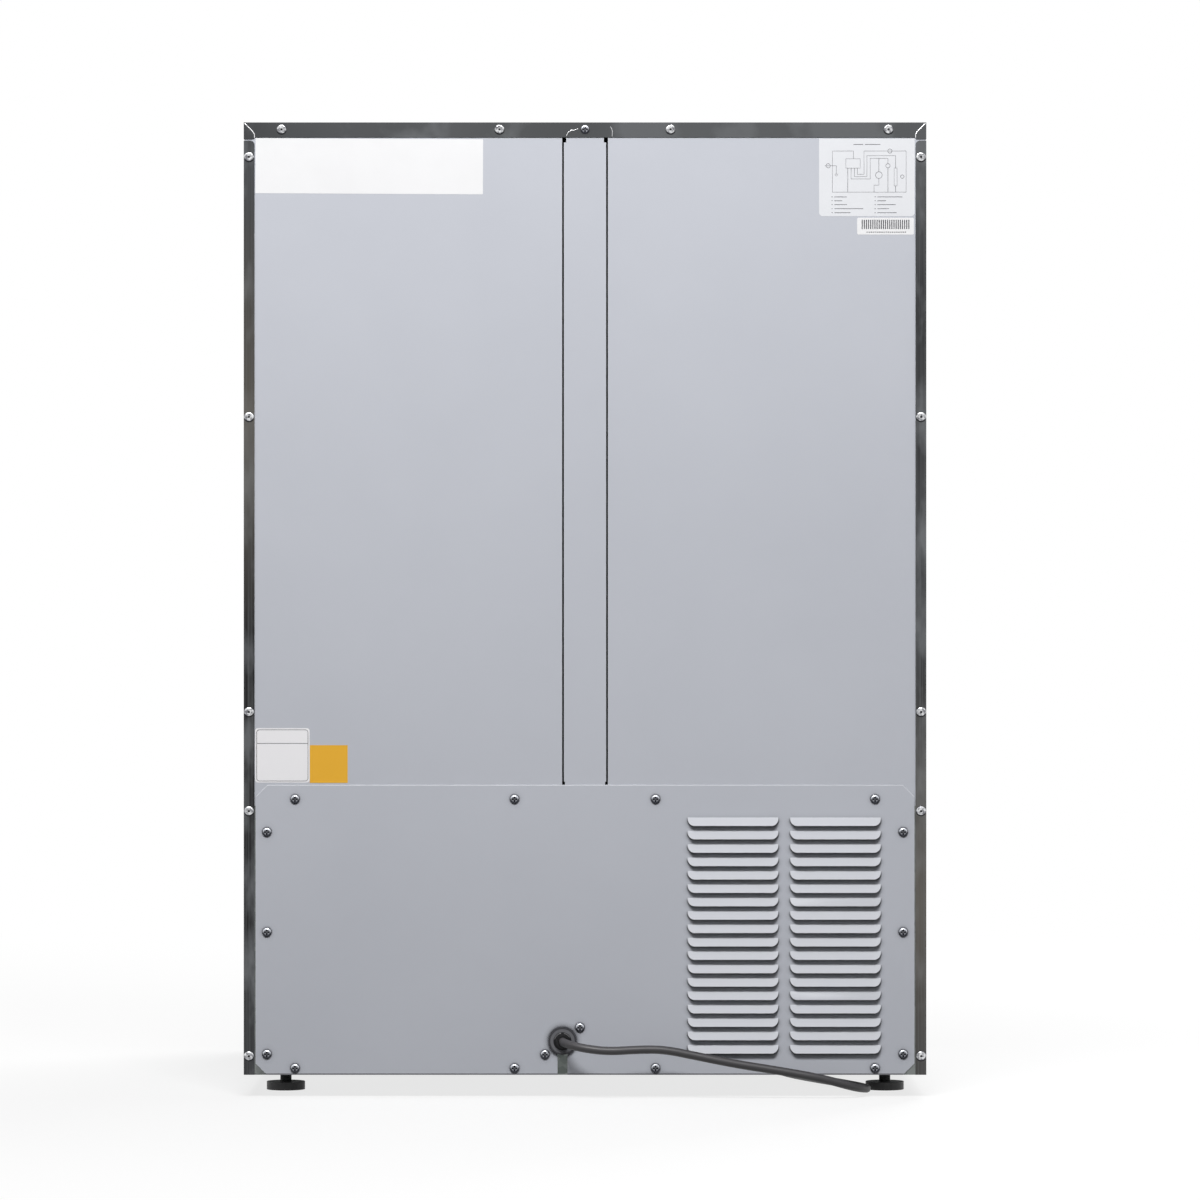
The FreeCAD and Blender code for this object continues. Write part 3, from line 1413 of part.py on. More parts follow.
# Drip tray on the compressor and the drain tube that ends in it
tray_x = (compressor_x - size("tray_width") / 2, compressor_x + size("tray_width") / 2)
tray_y = (compressor_y - size("tray_depth") / 2, compressor_y + size("tray_depth") / 2)
tray_wall = size("tray_wall")
tray_top = shell_top + size("tray_height")
pan = box(tray_x, tray_y, (shell_top, tray_top))
pan_hollow = box((tray_x[0] + tray_wall, tray_x[1] - tray_wall),
                 (tray_y[0] + tray_wall, tray_y[1] - tray_wall),
                 (shell_top + tray_wall, tray_top + fit))
sub_part(cut(pan, [pan_hollow]), "drip_tray")
drain_foot = tray_top - size("drain_dip")
drain_length = step_top - drain_foot
drain = cut(cylinder((drain_x, drain_y, drain_foot), "+Z", size("drain_radius"), drain_length),
            [cylinder((drain_x, drain_y, drain_foot - fit), "+Z", size("drain_radius") - size("drain_wall"),
                      drain_length + fit * 2)])
sub_part(drain, "drain_tube")

# Driver of the light, on the front wall of the compartment
driver_z = bottom + size("driver_floor")
driver_half = size("driver_width") / 2
driver = box((-driver_half, driver_half), (hump_wall, hump_wall + size("driver_depth")),
             (driver_z, driver_z + size("driver_height")))
sub_part(driver, "led_driver")

# Condenser behind the louvres, standing on its end plates
condenser_left = size("condenser_from_side") - inner
condenser_x = (condenser_left, condenser_left + size("condenser_width"))
condenser_back = panel_face - size("condenser_from_cover")
condenser_y = (condenser_back - size("condenser_depth"), condenser_back)
condenser_middle = condenser_back - size("condenser_depth") / 2
condenser_z = (bottom + size("condenser_legs"), bottom + size("condenser_height"))
pieces = finned_coil(condenser_x, condenser_y, condenser_z, base_top, condenser_back, count("condenser_fins"))
inlet_z = bottom + size("condenser_inlet")
outlet_z = bottom + size("condenser_outlet")
header_x = condenser_x[1] - size("coil_plate")
header_end = condenser_x[1] + size("header_length")
for level in (inlet_z, outlet_z):
    start = (header_x, condenser_middle, level)
    pieces.append(cylinder(start, "+X", size("discharge_radius"), header_end - header_x))
sub_part(fuse(pieces), "condenser")

# Fan shroud in front of the condenser
shroud_sheet = size("shroud_sheet")
shroud_y = (condenser_y[0] - size("shroud_depth"), condenser_y[0])
shroud_z = (base_top, condenser_z[1])
fan_x = (condenser_x[0] + condenser_x[1]) / 2
fan_z = (condenser_z[0] + condenser_z[1]) / 2
shroud_hollow = box((condenser_x[0] + shroud_sheet, condenser_x[1] - shroud_sheet),
                    (shroud_y[0] + shroud_sheet, shroud_y[1] + fit),
                    (shroud_z[0] + shroud_sheet, shroud_z[1] - shroud_sheet))
shroud_opening = cylinder((fan_x, shroud_y[0] - fit, fan_z), "+Y", size("shroud_opening"),
                          shroud_sheet + fit * 2)
sub_part(cut(box(condenser_x, shroud_y, shroud_z), [shroud_hollow, shroud_opening]), "condenser_shroud")

# Condenser fan and its motor on a pedestal
hub_back = shroud_y[0] + size("condenser_hub_length") / 2
motor_back = hub_back - size("condenser_hub_length") - size("condenser_motor_gap")
motor_radius = size("condenser_motor_radius")
motor_start = motor_back - size("condenser_motor_length")
pedestal_half = size("pedestal_width") / 2
motor = fuse([
    cylinder((fan_x, motor_start, fan_z), "+Y", motor_radius, size("condenser_motor_length")),
    box((fan_x - pedestal_half, fan_x + pedestal_half), (motor_start, motor_back),
        (base_top, fan_z - motor_radius + size("pedestal_sink"))),
])
bore_radius = size("condenser_shaft_radius") + size("shaft_clearance")
bore = cylinder((fan_x, motor_back + fit, fan_z), "-Y", bore_radius, size("shaft_depth") + fit * 2)
sub_part(cut(motor, [bore]), "condenser_fan_motor")
fan("condenser_fan", "condenser", "-Y", (fan_x, hub_back, fan_z))


def bent_path(points, radii):
    """Straight runs joined by tangent arcs, one radius for each inner point."""
    edges = []
    start = points[0]
    for before, corner, after, radius in zip(points, points[1:], points[2:], radii):
        arriving = (corner - before).normalize()
        leaving = (after - corner).normalize()
        turn = arriving.getAngle(leaving)
        setback = radius * math.tan(turn / 2)
        first = corner - arriving * setback
        last = corner + leaving * setback
        inward = (leaving - arriving).normalize()
        middle = corner + inward * (radius / math.cos(turn / 2) - radius)
        edges.append(Part.LineSegment(start, first).toShape())
        edges.append(Part.Arc(first, middle, last).toShape())
        start = last
    edges.append(Part.LineSegment(start, points[-1]).toShape())
    return Part.Wire(edges)


def swept(path, start, direction, radius):
    """A round bar along a path."""
    ring = Part.Wire([Part.Circle(start, direction, radius).toShape()])
    return path.makePipeShell([ring], True, False)


def tube(points, radius, bend):
    """A tube through the points, with every corner bent to the same radius."""
    points = [vector(point) for point in points]
    path = bent_path(points, [bend.number] * (len(points) - 2))
    return swept(path, points[0], points[1] - points[0], radius.number)


# Discharge line from the compressor to the top of the condenser
bend = size("tube_bend")
discharge_x = -size("discharge_offset")
discharge = tube([
    (stub_x, discharge_y, discharge_z),
    (discharge_x, discharge_y, discharge_z),
    (discharge_x, condenser_middle, discharge_z),
    (discharge_x, condenser_middle, inlet_z),
    (header_end, condenser_middle, inlet_z),
], size("discharge_radius"), bend)
sub_part(shape_part("discharge_line", discharge), "discharge_line")

# Suction line from the evaporator down the channel behind the strip
suction = tube([
    (stub_x, compressor_y, suction_z),
    (suction_x, compressor_y, suction_z),
    (suction_x, suction_y, suction_z),
    (suction_x, suction_y, suction_top),
    (suction_x, evaporator_back, suction_top),
], size("suction_radius"), bend)
sub_part(shape_part("suction_line", suction), "suction_line")

# Filter drier on the condenser's outlet, and the capillary from it to the suction line
drier_length = size("drier_length")
drier = turned("drier", [
    (ZERO, ZERO),
    (size("drier_tip_radius"), ZERO),
    (size("drier_radius"), size("drier_taper")),
    (size("drier_radius"), drier_length - size("drier_taper")),
    (size("drier_tip_radius"), drier_length),
    (ZERO, drier_length),
])
place(drier, (header_end, condenser_middle, outlet_z), "+X")
capillary_top = suction_z - size("suction_radius") - size("capillary_gap")
capillary = shape_part("capillary", tube([
    (header_end + drier_length, condenser_middle, outlet_z),
    (suction_x, condenser_middle, outlet_z),
    (suction_x, condenser_middle, capillary_top),
], size("capillary_radius"), bend / 2))
sub_part(together([drier, capillary]), "filter_drier")

# Wire shelves on the rails
for label, level in shelf_levels.items():
    rod = size("shelf_rod_radius")
    wire = size("shelf_wire_radius")
    rod_z = level + size("shelf_rest") + rod
    shelf_half = room_half - size("shelf_side_gap") - rod
    shelf_y = (shelf_front + rod, evaporator_cover_front - size("shelf_rear_gap") - rod)
    wires = []
    for y in shelf_y:
        wires.append(cylinder((-shelf_half - rod, y, rod_z), "+X", rod, (shelf_half + rod) * 2))
    for sign in (1, -1):
        start = (shelf_half * sign, shelf_y[0], rod_z)
        wires.append(cylinder(start, "+Y", size("shelf_side_rod_radius"), shelf_y[1] - shelf_y[0]))
    wire_z = rod_z + rod + wire - size("shelf_wire_sink")
    spacing = shelf_half * 2 / (count("shelf_wires") + 1)
    for index in range(1, count("shelf_wires") + 1):
        start = (spacing * index - shelf_half, shelf_y[0], wire_z)
        wires.append(cylinder(start, "+Y", wire, shelf_y[1] - shelf_y[0]))
    sub_part(fuse(wires), label)

# Clamp plate behind the cover and the grommet that it holds
clamp = new_body("cord_clamp")
clamp_top = bottom + size("clamp_height")
clamp_outline = rectangle(clamp_span, (base_top, clamp_top))
pad(clamp, sketch(clamp, "XZ", panel_face, [clamp_outline]), size("clamp_sheet"))
clamp_holes = holes(clamp_screws, screw_hole) + [gland_hole]
pocket(clamp, sketch(clamp, "XZ", panel_face, (), clamp_holes), size("clamp_sheet") * 4)
sub_part(clamp, "cord_clamp")

cord_radius = size("cord_diameter") / 2
flange_face = skin + size("gland_flange")
gland_end = flange_face + size("gland_boss")
gland_back = -size("clamp_sheet")
gland_bore = cord_radius + size("gland_fit")
gland_seat = skin + size("gland_seat")
grommet = turned("cord_grommet", [
    (ZERO, gland_back - size("gland_lip")),
    (size("gland_lip_radius"), gland_back - size("gland_lip")),
    (size("gland_lip_radius"), gland_back),
    (size("gland_neck_radius"), gland_back),
    (size("gland_neck_radius"), skin),
    (size("gland_flange_radius"), skin),
    (size("gland_flange_radius"), flange_face),
    (size("gland_neck_radius"), flange_face),
    (size("gland_tip_radius"), gland_end),
    (gland_bore, gland_end),
    (gland_bore, gland_seat),
    (ZERO, gland_seat),
])
place(grommet, (gland_x, panel_face, gland_z), "+Y")
sub_part(grommet, "cord_grommet")

# Coil of the put-away cord, under the cabinet: it winds in on the ground, climbs and winds out on top
cord_number = cord_radius.number
coil_pitch = size("coil_pitch").number
layer_pitch = size("coil_layer_pitch").number
turns = size("coil_turns_each_layer").number
coil_floor = cord_number + size("tie_sheet").number + size("tie_clearance").number
coil_outer = size("coil_middle_radius").number + coil_pitch * turns / 2
coil_inner = coil_outer - coil_pitch * turns
coil_centre = vector((size("coil_centre_x"), size("coil_centre_y"), ZERO))
coil_start_angle = math.radians(size("coil_start_angle").number)
wound_in = 2 * math.pi * turns
climbed = wound_in + math.pi
wound_out = climbed + wound_in


def coil_point(angle):
    """A point of the coil's middle line, by the angle wound from its start."""
    if angle <= wound_in:
        reach = coil_outer - coil_pitch * angle / (2 * math.pi)
        height = coil_floor
    elif angle <= climbed:
        share = (angle - wound_in) / math.pi
        reach = coil_inner - coil_pitch / 2 * share * (1 - share)
        height = coil_floor + layer_pitch * share * share * (3 - 2 * share)
    else:
        reach = coil_inner + coil_pitch * (angle - climbed) / (2 * math.pi)
        height = coil_floor + layer_pitch
    heading = coil_start_angle + angle
    return coil_centre + Vector(reach * math.cos(heading), reach * math.sin(heading), height)


def coil_heading(angle):
    """The coil's direction at an angle, from two points close by."""
    step = 1e-4
    low = max(angle - step, 0.0)
    high = min(angle + step, wound_out)
    return (coil_point(high) - coil_point(low)).normalize()


def biarc(start, start_heading, end, end_heading):
    """Two tangent arcs between two points with given headings."""
    chord = end - start
    headings = start_heading + end_heading
    across = chord.dot(headings)
    spread = 2 * (1 - start_heading.dot(end_heading))
    reach = (math.sqrt(across * across + spread * chord.dot(chord)) - across) / spread
    first_corner = start + start_heading * reach
    last_corner = end - end_heading * reach
    joint = (first_corner + last_corner) * 0.5
    arcs = []
    for begin, corner, finish in ((start, first_corner, joint), (joint, last_corner, end)):
        to_begin = (begin - corner).normalize()
        to_finish = (finish - corner).normalize()
        half_angle = to_begin.getAngle(to_finish) / 2
        inward = (to_begin + to_finish).normalize()
        legs = begin.distanceToPoint(corner)
        middle = corner + inward * (legs / math.cos(half_angle) - legs * math.tan(half_angle))
        arcs.append(Part.Arc(begin, middle, finish).toShape())
    return arcs


# The coil's ends run straight, and the tail comes down to the plug beside the coil.
lead = size("coil_lead").number
plug_z = size("plug_ground") + size("plug_thickness") / 2
coil_entry = coil_point(0.0) - coil_heading(0.0) * lead
tail_heading = coil_heading(wound_out)
tail_start = coil_point(wound_out)
tail_turn = size("tail_turn").number
plug_heading = Rotation(Vector(0, 0, 1), tail_turn).multVec(tail_heading)
tail_chord = Rotation(Vector(0, 0, 1), tail_turn / 2).multVec(tail_heading)
tail_end = tail_start + tail_chord * size("tail_length").number
tail_end.z = plug_z.number
plug_entry = tail_end + plug_heading * lead
coil_edges = [Part.LineSegment(coil_entry, coil_point(0.0)).toShape()]
quarter = math.pi / 2
quarters = int(round(wound_out / quarter))
for index in range(quarters):
    begin = index * quarter
    finish = begin + quarter
    coil_edges += biarc(coil_point(begin), coil_heading(begin), coil_point(finish), coil_heading(finish))
coil_edges += biarc(tail_start, tail_heading, tail_end, plug_heading)
coil_edges.append(Part.LineSegment(tail_end, plug_entry).toShape())
coil_path = Part.Wire(coil_edges)
coil = swept(coil_path, coil_entry, coil_heading(0.0), cord_number)
sub_part(shape_part("power_cord_coil", coil), "power_cord_coil")

# Least gap of the coil to itself, on points along its middle line
coil_samples = coil_path.discretize(Distance=SAMPLE_STEP)
least_gap = min(
    one.distanceToPoint(other) - 2 * cord_number
    for index, one in enumerate(coil_samples)
    for other in coil_samples[index + SAMPLE_NEIGHBOURS:]
)
print("coil least gap to itself %.2f mm, length %.0f mm" % (least_gap, coil_path.Length))
print("coil volume against section times length %.5f"
      % (coil.Volume / (math.pi * cord_number ** 2 * coil_path.Length)))

# Power cord: out of the grommet, along the cover, under its lower edge and over the ground to the coil.
# Each point is a share of the way from the grommet to the cabinet's left side, the distance behind the
# cabinet, and a height: over the grommet, then over the cabinet's lower edge, then over the ground.
COVER_ROUTE = [
    (0.0, 13.5, 0.0),
    (0.02, 24.3, -1.6),
    (0.064, 30.5, -4.4),
    (0.125, 31.0, -6.7),
    (0.203, 28.5, -5.4),
    (0.276, 27.0, -5.2),
    (0.364, 25.5, -11.0),
    (0.48, 23.5, -18.6),
]
EDGE_ROUTE = [
    (0.602, 21.0, 4.9),
    (0.716, 18.5, -1.9),
    (0.804, 5.0, -10.8),
]
GROUND_ROUTE = [
    (0.848, -24.0, 5.6),
    (0.826, -60.0, 4.8),
    (0.772, -102.0, 4.75),
    (0.706, -147.0, 4.75),
    (0.646, -194.0, 4.75),
    (0.609, -242.0, 4.75),
]
way_left = gland_x.number + half.number
cord_points = [Vector(gland_x.number, panel_face.number + gland_seat.number, gland_z.number)]
for route, datum in ((COVER_ROUTE, gland_z), (EDGE_ROUTE, bottom), (GROUND_ROUTE, ZERO)):
    for share, behind, height in route:
        across = gland_x.number - share * way_left
        cord_points.append(Vector(across, rear.number + behind, datum.number + height))
cord_points.append(coil_entry - coil_heading(0.0) * size("coil_approach").number)
cord_points.append(coil_entry)
cord_radii = []
for before, corner, after in zip(cord_points, cord_points[1:], cord_points[2:]):
    shorter = min(corner.distanceToPoint(before), after.distanceToPoint(corner))
    turn = (corner - before).getAngle(after - corner)
    cord_radii.append(ARC_SHARE * shorter / math.tan(turn / 2))
print("cord radii", ["%.0f" % radius for radius in cord_radii])
print("cord runs", ["%.0f" % one.distanceToPoint(two) for one, two in zip(cord_points, cord_points[1:])])
cord_path = bent_path(cord_points, cord_radii)
cord = swept(cord_path, cord_points[0], cord_points[1] - cord_points[0], cord_number)
print("cord volume against section times length %.5f"
      % (cord.Volume / (math.pi * cord_number ** 2 * cord_path.Length)))
print("cord length in all %.0f mm" % (cord_path.Length + coil_path.Length))
sub_part(shape_part("power_cord", cord), "power_cord")

# Tie around the turns of the coil
tie_sheet = size("tie_sheet")
tie_clearance = size("tie_clearance")
tie_in = as_size(coil_inner) - size("coil_pitch") / 2 - cord_radius - tie_clearance
tie_out = as_size(coil_outer) + cord_radius + tie_clearance
tie_top = as_size(coil_floor) + size("coil_layer_pitch") + cord_radius + tie_clearance
tie_half = size("tie_width") / 2
band = cut(
    box((tie_in - tie_sheet, tie_out + tie_sheet), (-tie_half, tie_half), (ZERO, tie_top + tie_sheet)),
    [box((tie_in, tie_out), (-tie_half - fit, tie_half + fit), (tie_sheet, tie_top))])
tie = repeated("cord_tie", band, [(ZERO, ZERO, ZERO)])
tie.Placement = Placement(coil_centre, Rotation(Vector(0, 0, 1), size("tie_angle").number))
sub_part(tie, "cord_tie")

# Plug with its strain relief, blades and ground pin, lying beside the coil
relief = turned("plug_relief", [
    (ZERO, ZERO),
    (size("plug_relief_tip"), ZERO),
    (size("plug_relief_radius"), size("plug_relief_length") + fit),
    (ZERO, size("plug_relief_length") + fit),
])
place(relief, (ZERO, ZERO, ZERO), "+X")
grip_start = size("plug_relief_length")
grip_end = grip_start + size("plug_length")
grip = new_body("plug_grip")
grip_half = size("plug_width") / 2
grip_rise = size("plug_thickness") / 2
grip_outline = rectangle((-grip_half, grip_half), (-grip_rise, grip_rise))
pad(grip, sketch(grip, "YZ", grip_start, [grip_outline]), size("plug_length"))
grip_middle = (grip_start + grip_end) / 2
corners = [(grip_middle, grip_half * a, grip_rise * b) for a in (1, -1) for b in (1, -1)]
fillet(grip, size("plug_round"), corners)
blade_rise = size("blade_width") / 2
contacts = []
for sign in (1, -1):
    across = size("blade_spacing") / 2 * sign
    blade_span = (across - size("blade_sheet") / 2, across + size("blade_sheet") / 2)
    blade_reach = (grip_end - fit, grip_end + size("blade_length"))
    contacts.append(box(blade_reach, blade_span, (-blade_rise, blade_rise)))
pin_length = size("ground_pin_length") + fit
contacts.append(cylinder((grip_end - fit, ZERO, ZERO), "+X", size("ground_pin_radius"), pin_length))
plug = repeated("power_plug", fuse([relief, grip] + contacts), [(ZERO, ZERO, ZERO)])
plug_angle = math.degrees(math.atan2(plug_heading.y, plug_heading.x))
plug.Placement = Placement(plug_entry, Rotation(Vector(0, 0, 1), plug_angle))
sub_part(plug, "power_plug")

# Screws with a cross recess
screw = turned("screw", [
    (ZERO, -size("screw_length")),
    (size("screw_radius"), -size("screw_length")),
    (size("screw_radius"), ZERO),
    (size("screw_head_radius"), ZERO),
    (size("screw_head_radius"), size("screw_head_height")),
    (ZERO, size("screw_head_height")),
])
fillet(screw, size("screw_head_round"), [(ZERO, ZERO, size("screw_head_height"))])
arm = size("recess_length") / 2
web = size("recess_width") / 2
cross = [
    (web, web), (arm, web), (arm, -web), (web, -web), (web, -arm), (-web, -arm),
    (-web, -web), (-arm, -web), (-arm, web), (-web, web), (-web, arm), (web, arm),
]
pocket(screw, sketch(screw, "XY", size("screw_head_height"), [cross]), size("recess_depth") * 2)
rear_screws = [(x, rear, z) for x, z in cover_screws + side_screws + clamp_screws + [(ZERO, rivet_z)]]
front_screws = [(x, front, z) for x, z in grille_screws] + [(x, leg_face, z) for x, z in hinge_screws]
all_screws = together([repeated("rear_screws", screw, rear_screws, "+Y"),
                       repeated("front_screws", screw, front_screws, "-Y")])
sub_part(all_screws, "sheet_screws")

# Blind rivets with an open middle
rivet = turned("rivet", [
    (ZERO, -(skin * 2)),
    (size("rivet_radius"), -(skin * 2)),
    (size("rivet_radius"), ZERO),
    (size("rivet_head_radius"), ZERO),
    (size("rivet_head_radius"), size("rivet_head_height")),
    (ZERO, size("rivet_head_height")),
])
fillet(rivet, size("rivet_head_round"), [(ZERO, ZERO, size("rivet_head_height"))])
rivet_eye = [(ZERO, ZERO, size("rivet_hole_radius"))]
pocket(rivet, sketch(rivet, "XY", size("rivet_head_height"), (), rivet_eye), size("rivet_hole_depth") * 2)
rivet_places = [(x, rear, z) for x, z in top_rivets]
for sign in (1, -1):
    rivet_places += [(side_rivet_x * sign, rear, level) for level in side_rivet_levels]
sub_part(repeated("flange_rivets", rivet, rivet_places, "+Y"), "flange_rivets")

# Every object has to be sound before anything is written.
doc.recompute()
for thing in doc.Objects:
    if "Invalid" in thing.State or "Error" in thing.State:
        raise RuntimeError("%s failed" % thing.Label)
for thing in sub_parts:
    if thing.Shape.isNull() or not thing.Shape.isValid():
        raise RuntimeError("%s has no sound shape" % thing.Label)
os.makedirs("parts", exist_ok=True)
for thing in sub_parts:
    thing.Shape.exportStep(os.path.join("parts", thing.Label + ".step"))
print(len(sub_parts), "sub-parts")
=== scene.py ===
import json
import math
import bmesh
import bpy
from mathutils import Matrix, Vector


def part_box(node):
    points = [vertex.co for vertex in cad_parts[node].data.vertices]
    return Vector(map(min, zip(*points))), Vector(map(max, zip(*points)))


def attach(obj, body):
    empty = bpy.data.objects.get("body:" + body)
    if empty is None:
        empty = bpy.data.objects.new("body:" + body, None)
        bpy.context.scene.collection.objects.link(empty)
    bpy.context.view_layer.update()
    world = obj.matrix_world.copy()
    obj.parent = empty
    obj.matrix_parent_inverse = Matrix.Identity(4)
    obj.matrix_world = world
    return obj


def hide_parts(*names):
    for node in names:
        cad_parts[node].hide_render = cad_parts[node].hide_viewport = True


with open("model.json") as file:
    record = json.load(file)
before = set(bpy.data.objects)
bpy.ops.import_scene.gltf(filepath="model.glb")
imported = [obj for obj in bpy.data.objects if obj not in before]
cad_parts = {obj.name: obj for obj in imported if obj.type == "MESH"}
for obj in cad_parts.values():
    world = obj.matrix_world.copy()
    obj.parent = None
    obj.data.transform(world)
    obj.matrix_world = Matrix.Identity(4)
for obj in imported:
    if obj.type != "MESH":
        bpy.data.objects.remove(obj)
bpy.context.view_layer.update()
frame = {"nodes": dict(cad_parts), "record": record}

MM = 0.001

# Planes of the cabinet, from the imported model
lid_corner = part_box("top_panel")[1]
half = lid_corner.x
rear = lid_corner.y
top = lid_corner.z
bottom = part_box("side_panel_left")[0].z
panel_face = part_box("rear_panel_left")[1].y
grommet_low, grommet_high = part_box("cord_grommet")
grommet_middle = (grommet_low + grommet_high) / 2

# Camera: the photograph shows the back of the cabinet straight on
PHOTO_WIDTH = 1.0495
PHOTO_MIDDLE_X = -0.0131
PHOTO_MIDDLE_Z = 0.4353
CAMERA_DISTANCE = 5.0
SENSOR_WIDTH = 36.0

camera_data = bpy.data.cameras.new("camera")
camera_data.sensor_width = SENSOR_WIDTH
camera_data.lens = SENSOR_WIDTH * CAMERA_DISTANCE / PHOTO_WIDTH
camera = bpy.data.objects.new("camera", camera_data)
camera.location = (PHOTO_MIDDLE_X, rear + CAMERA_DISTANCE, PHOTO_MIDDLE_Z)
camera.rotation_euler = (math.radians(90), 0, math.radians(180))
scene = bpy.context.scene
scene.collection.objects.link(camera)
scene.camera = camera
scene.view_settings.view_transform = "Standard"

# Most values of a noise lie between these two.
NOISE_LOW = 0.3
NOISE_HIGH = 0.7
# Likeness of the true and the rounded normal, where an edge begins and on the edge itself
EDGE_BEGINS = 0.98
EDGE_FULL = 0.75
EDGE_SAMPLES = 6
OPENNESS_SAMPLES = 8


class Nodes:
    """The nodes of one tree, with inputs fed by the names or numbers of their sockets."""

    def __init__(self, tree):
        self.tree = tree

    def feed(self, socket, value):
        if isinstance(value, bpy.types.NodeSocket):
            self.tree.links.new(value, socket)
        else:
            socket.default_value = value

    def add(self, kind, inputs, **settings):
        node = self.tree.nodes.new(kind)
        for key, value in settings.items():
            setattr(node, key, value)
        for key, value in inputs.items():
            self.feed(node.inputs[key], value)
        return node

    def math(self, operation, *values):
        """One step of arithmetic."""
        return self.add("ShaderNodeMath", dict(enumerate(values)), operation=operation).outputs[0]

    def vector(self, operation, *values):
        """One step of arithmetic with vectors."""
        node = self.add("ShaderNodeVectorMath", dict(enumerate(values)), operation=operation)
        return node.outputs["Vector"]

    def measure(self, operation, *values):
        """One number out of vectors."""
        node = self.add("ShaderNodeVectorMath", dict(enumerate(values)), operation=operation)
        return node.outputs["Value"]

    def span(self, value, low, high, at_low=0.0, at_high=1.0, interpolation="LINEAR"):
        """A value carried from one range to another."""
        inputs = dict(enumerate((value, low, high, at_low, at_high)))
        return self.add("ShaderNodeMapRange", inputs, interpolation_type=interpolation).outputs["Result"]

    def seen_directly(self):
        """1 for rays from the camera, from gloss and through glass, and 0 for the light on surfaces."""
        path = self.add("ShaderNodeLightPath", {})
        seen = path.outputs["Is Camera Ray"]
        for name in ("Is Glossy Ray", "Is Transmission Ray"):
            seen = self.math("MAXIMUM", seen, path.outputs[name])
        return seen

    def blend(self, share, first, second):
        """A shader between two shaders."""
        return self.add("ShaderNodeMixShader", {"Fac": share, 1: first, 2: second}).outputs[0]


class Finish(Nodes):
    """A material with one principled shader, and the nodes that feed it."""

    def __init__(self, name, **sockets):
        self.material = bpy.data.materials.new(name)
        self.material.use_nodes = True
        super().__init__(self.material.node_tree)
        self.shader = self.tree.nodes["Principled BSDF"]
        for socket, value in sockets.items():
            self.shader.inputs[socket.replace("_", " ")].default_value = value
        self.point = self.add("ShaderNodeTexCoord", {}).outputs["Object"]

    def axis(self, letter):
        """One coordinate of the place on the object, in metres."""
        return self.add("ShaderNodeSeparateXYZ", {0: self.point}).outputs[letter]

    def along(self, direction, start):
        """The distance from a point along a direction."""
        offset = self.vector("SUBTRACT", self.point, tuple(start))
        return self.measure("DOT_PRODUCT", offset, tuple(direction))

    def radius(self, centre):
        """The distance from a line along Y through a point."""
        flat = self.vector("MULTIPLY", self.point, (1.0, 0.0, 1.0))
        return self.measure("DISTANCE", flat, (centre.x, 0.0, centre.z))

    def normal(self):
        """The direction that the surface faces."""
        return self.add("ShaderNodeNewGeometry", {}).outputs["Normal"]

    def edges(self, radius):
        """How near the surface lies to an edge, from 0 to 1 on it."""
        rounded = self.add("ShaderNodeBevel", {"Radius": radius}, samples=EDGE_SAMPLES).outputs[0]
        likeness = self.measure("DOT_PRODUCT", rounded, self.normal())
        return self.span(likeness, EDGE_BEGINS, EDGE_FULL)

    def noise(self, scale, stretch=(1, 1, 1), detail=2.0):
        """Cloudy variation, with a number of clouds in a metre."""
        place = self.add("ShaderNodeMapping", {"Vector": self.point, "Scale": stretch}).outputs[0]
        inputs = {"Vector": place, "Scale": scale, "Detail": detail}
        return self.add("ShaderNodeTexNoise", inputs).outputs[0]

    def cells(self, scale):
        """Cells of one value each, with a number of cells in a metre."""
        inputs = {"Vector": self.point, "Scale": scale}
        return self.add("ShaderNodeTexVoronoi", inputs).outputs["Color"]

    def rings(self, scale, direction):
        """Even bands across one axis."""
        inputs = {"Vector": self.point, "Scale": scale}
        return self.add("ShaderNodeTexWave", inputs, bands_direction=direction).outputs["Fac"]

    def mix(self, share, first, second):
        """A colour between two colours."""
        node = self.add("ShaderNodeMix", {"Factor": share}, data_type="RGBA")
        for socket, colour in zip([s for s in node.inputs if s.type == "RGBA"], (first, second)):
            self.feed(socket, (*colour, 1.0) if isinstance(colour, tuple) else colour)
        return [s for s in node.outputs if s.type == "RGBA"][0]

    def by_openness(self, recess_shade, open_side, distance, low, high):
        """Painted shade: a colour in recesses, and one where the surface lies open."""
        inputs = {"Distance": distance}
        openness = self.add("ShaderNodeAmbientOcclusion", inputs, samples=OPENNESS_SAMPLES).outputs["AO"]
        return self.mix(self.span(openness, low, high), recess_shade, open_side)

    def by_tilt(self, under, upper, low, high):
        """Painted light and shade: a colour where the surface faces down, and one where it faces up."""
        upward = self.add("ShaderNodeSeparateXYZ", {0: self.normal()}).outputs["Z"]
        return self.mix(self.span(upward, low, high), under, upper)

    def colour(self, value):
        self.feed(self.shader.inputs["Base Color"], value)

    def glow(self, value):
        """A colour that also shines."""
        self.colour(value)
        self.feed(self.shader.inputs["Emission Color"], value)

    def roughness(self, grain, smooth, rough):
        """Roughness that follows a noise."""
        self.feed(self.shader.inputs["Roughness"], self.span(grain, NOISE_LOW, NOISE_HIGH, smooth, rough))

    def bump(self, height, depth):
        bump = self.add("ShaderNodeBump", {"Height": height, "Distance": depth})
        self.feed(self.shader.inputs["Normal"], bump.outputs[0])


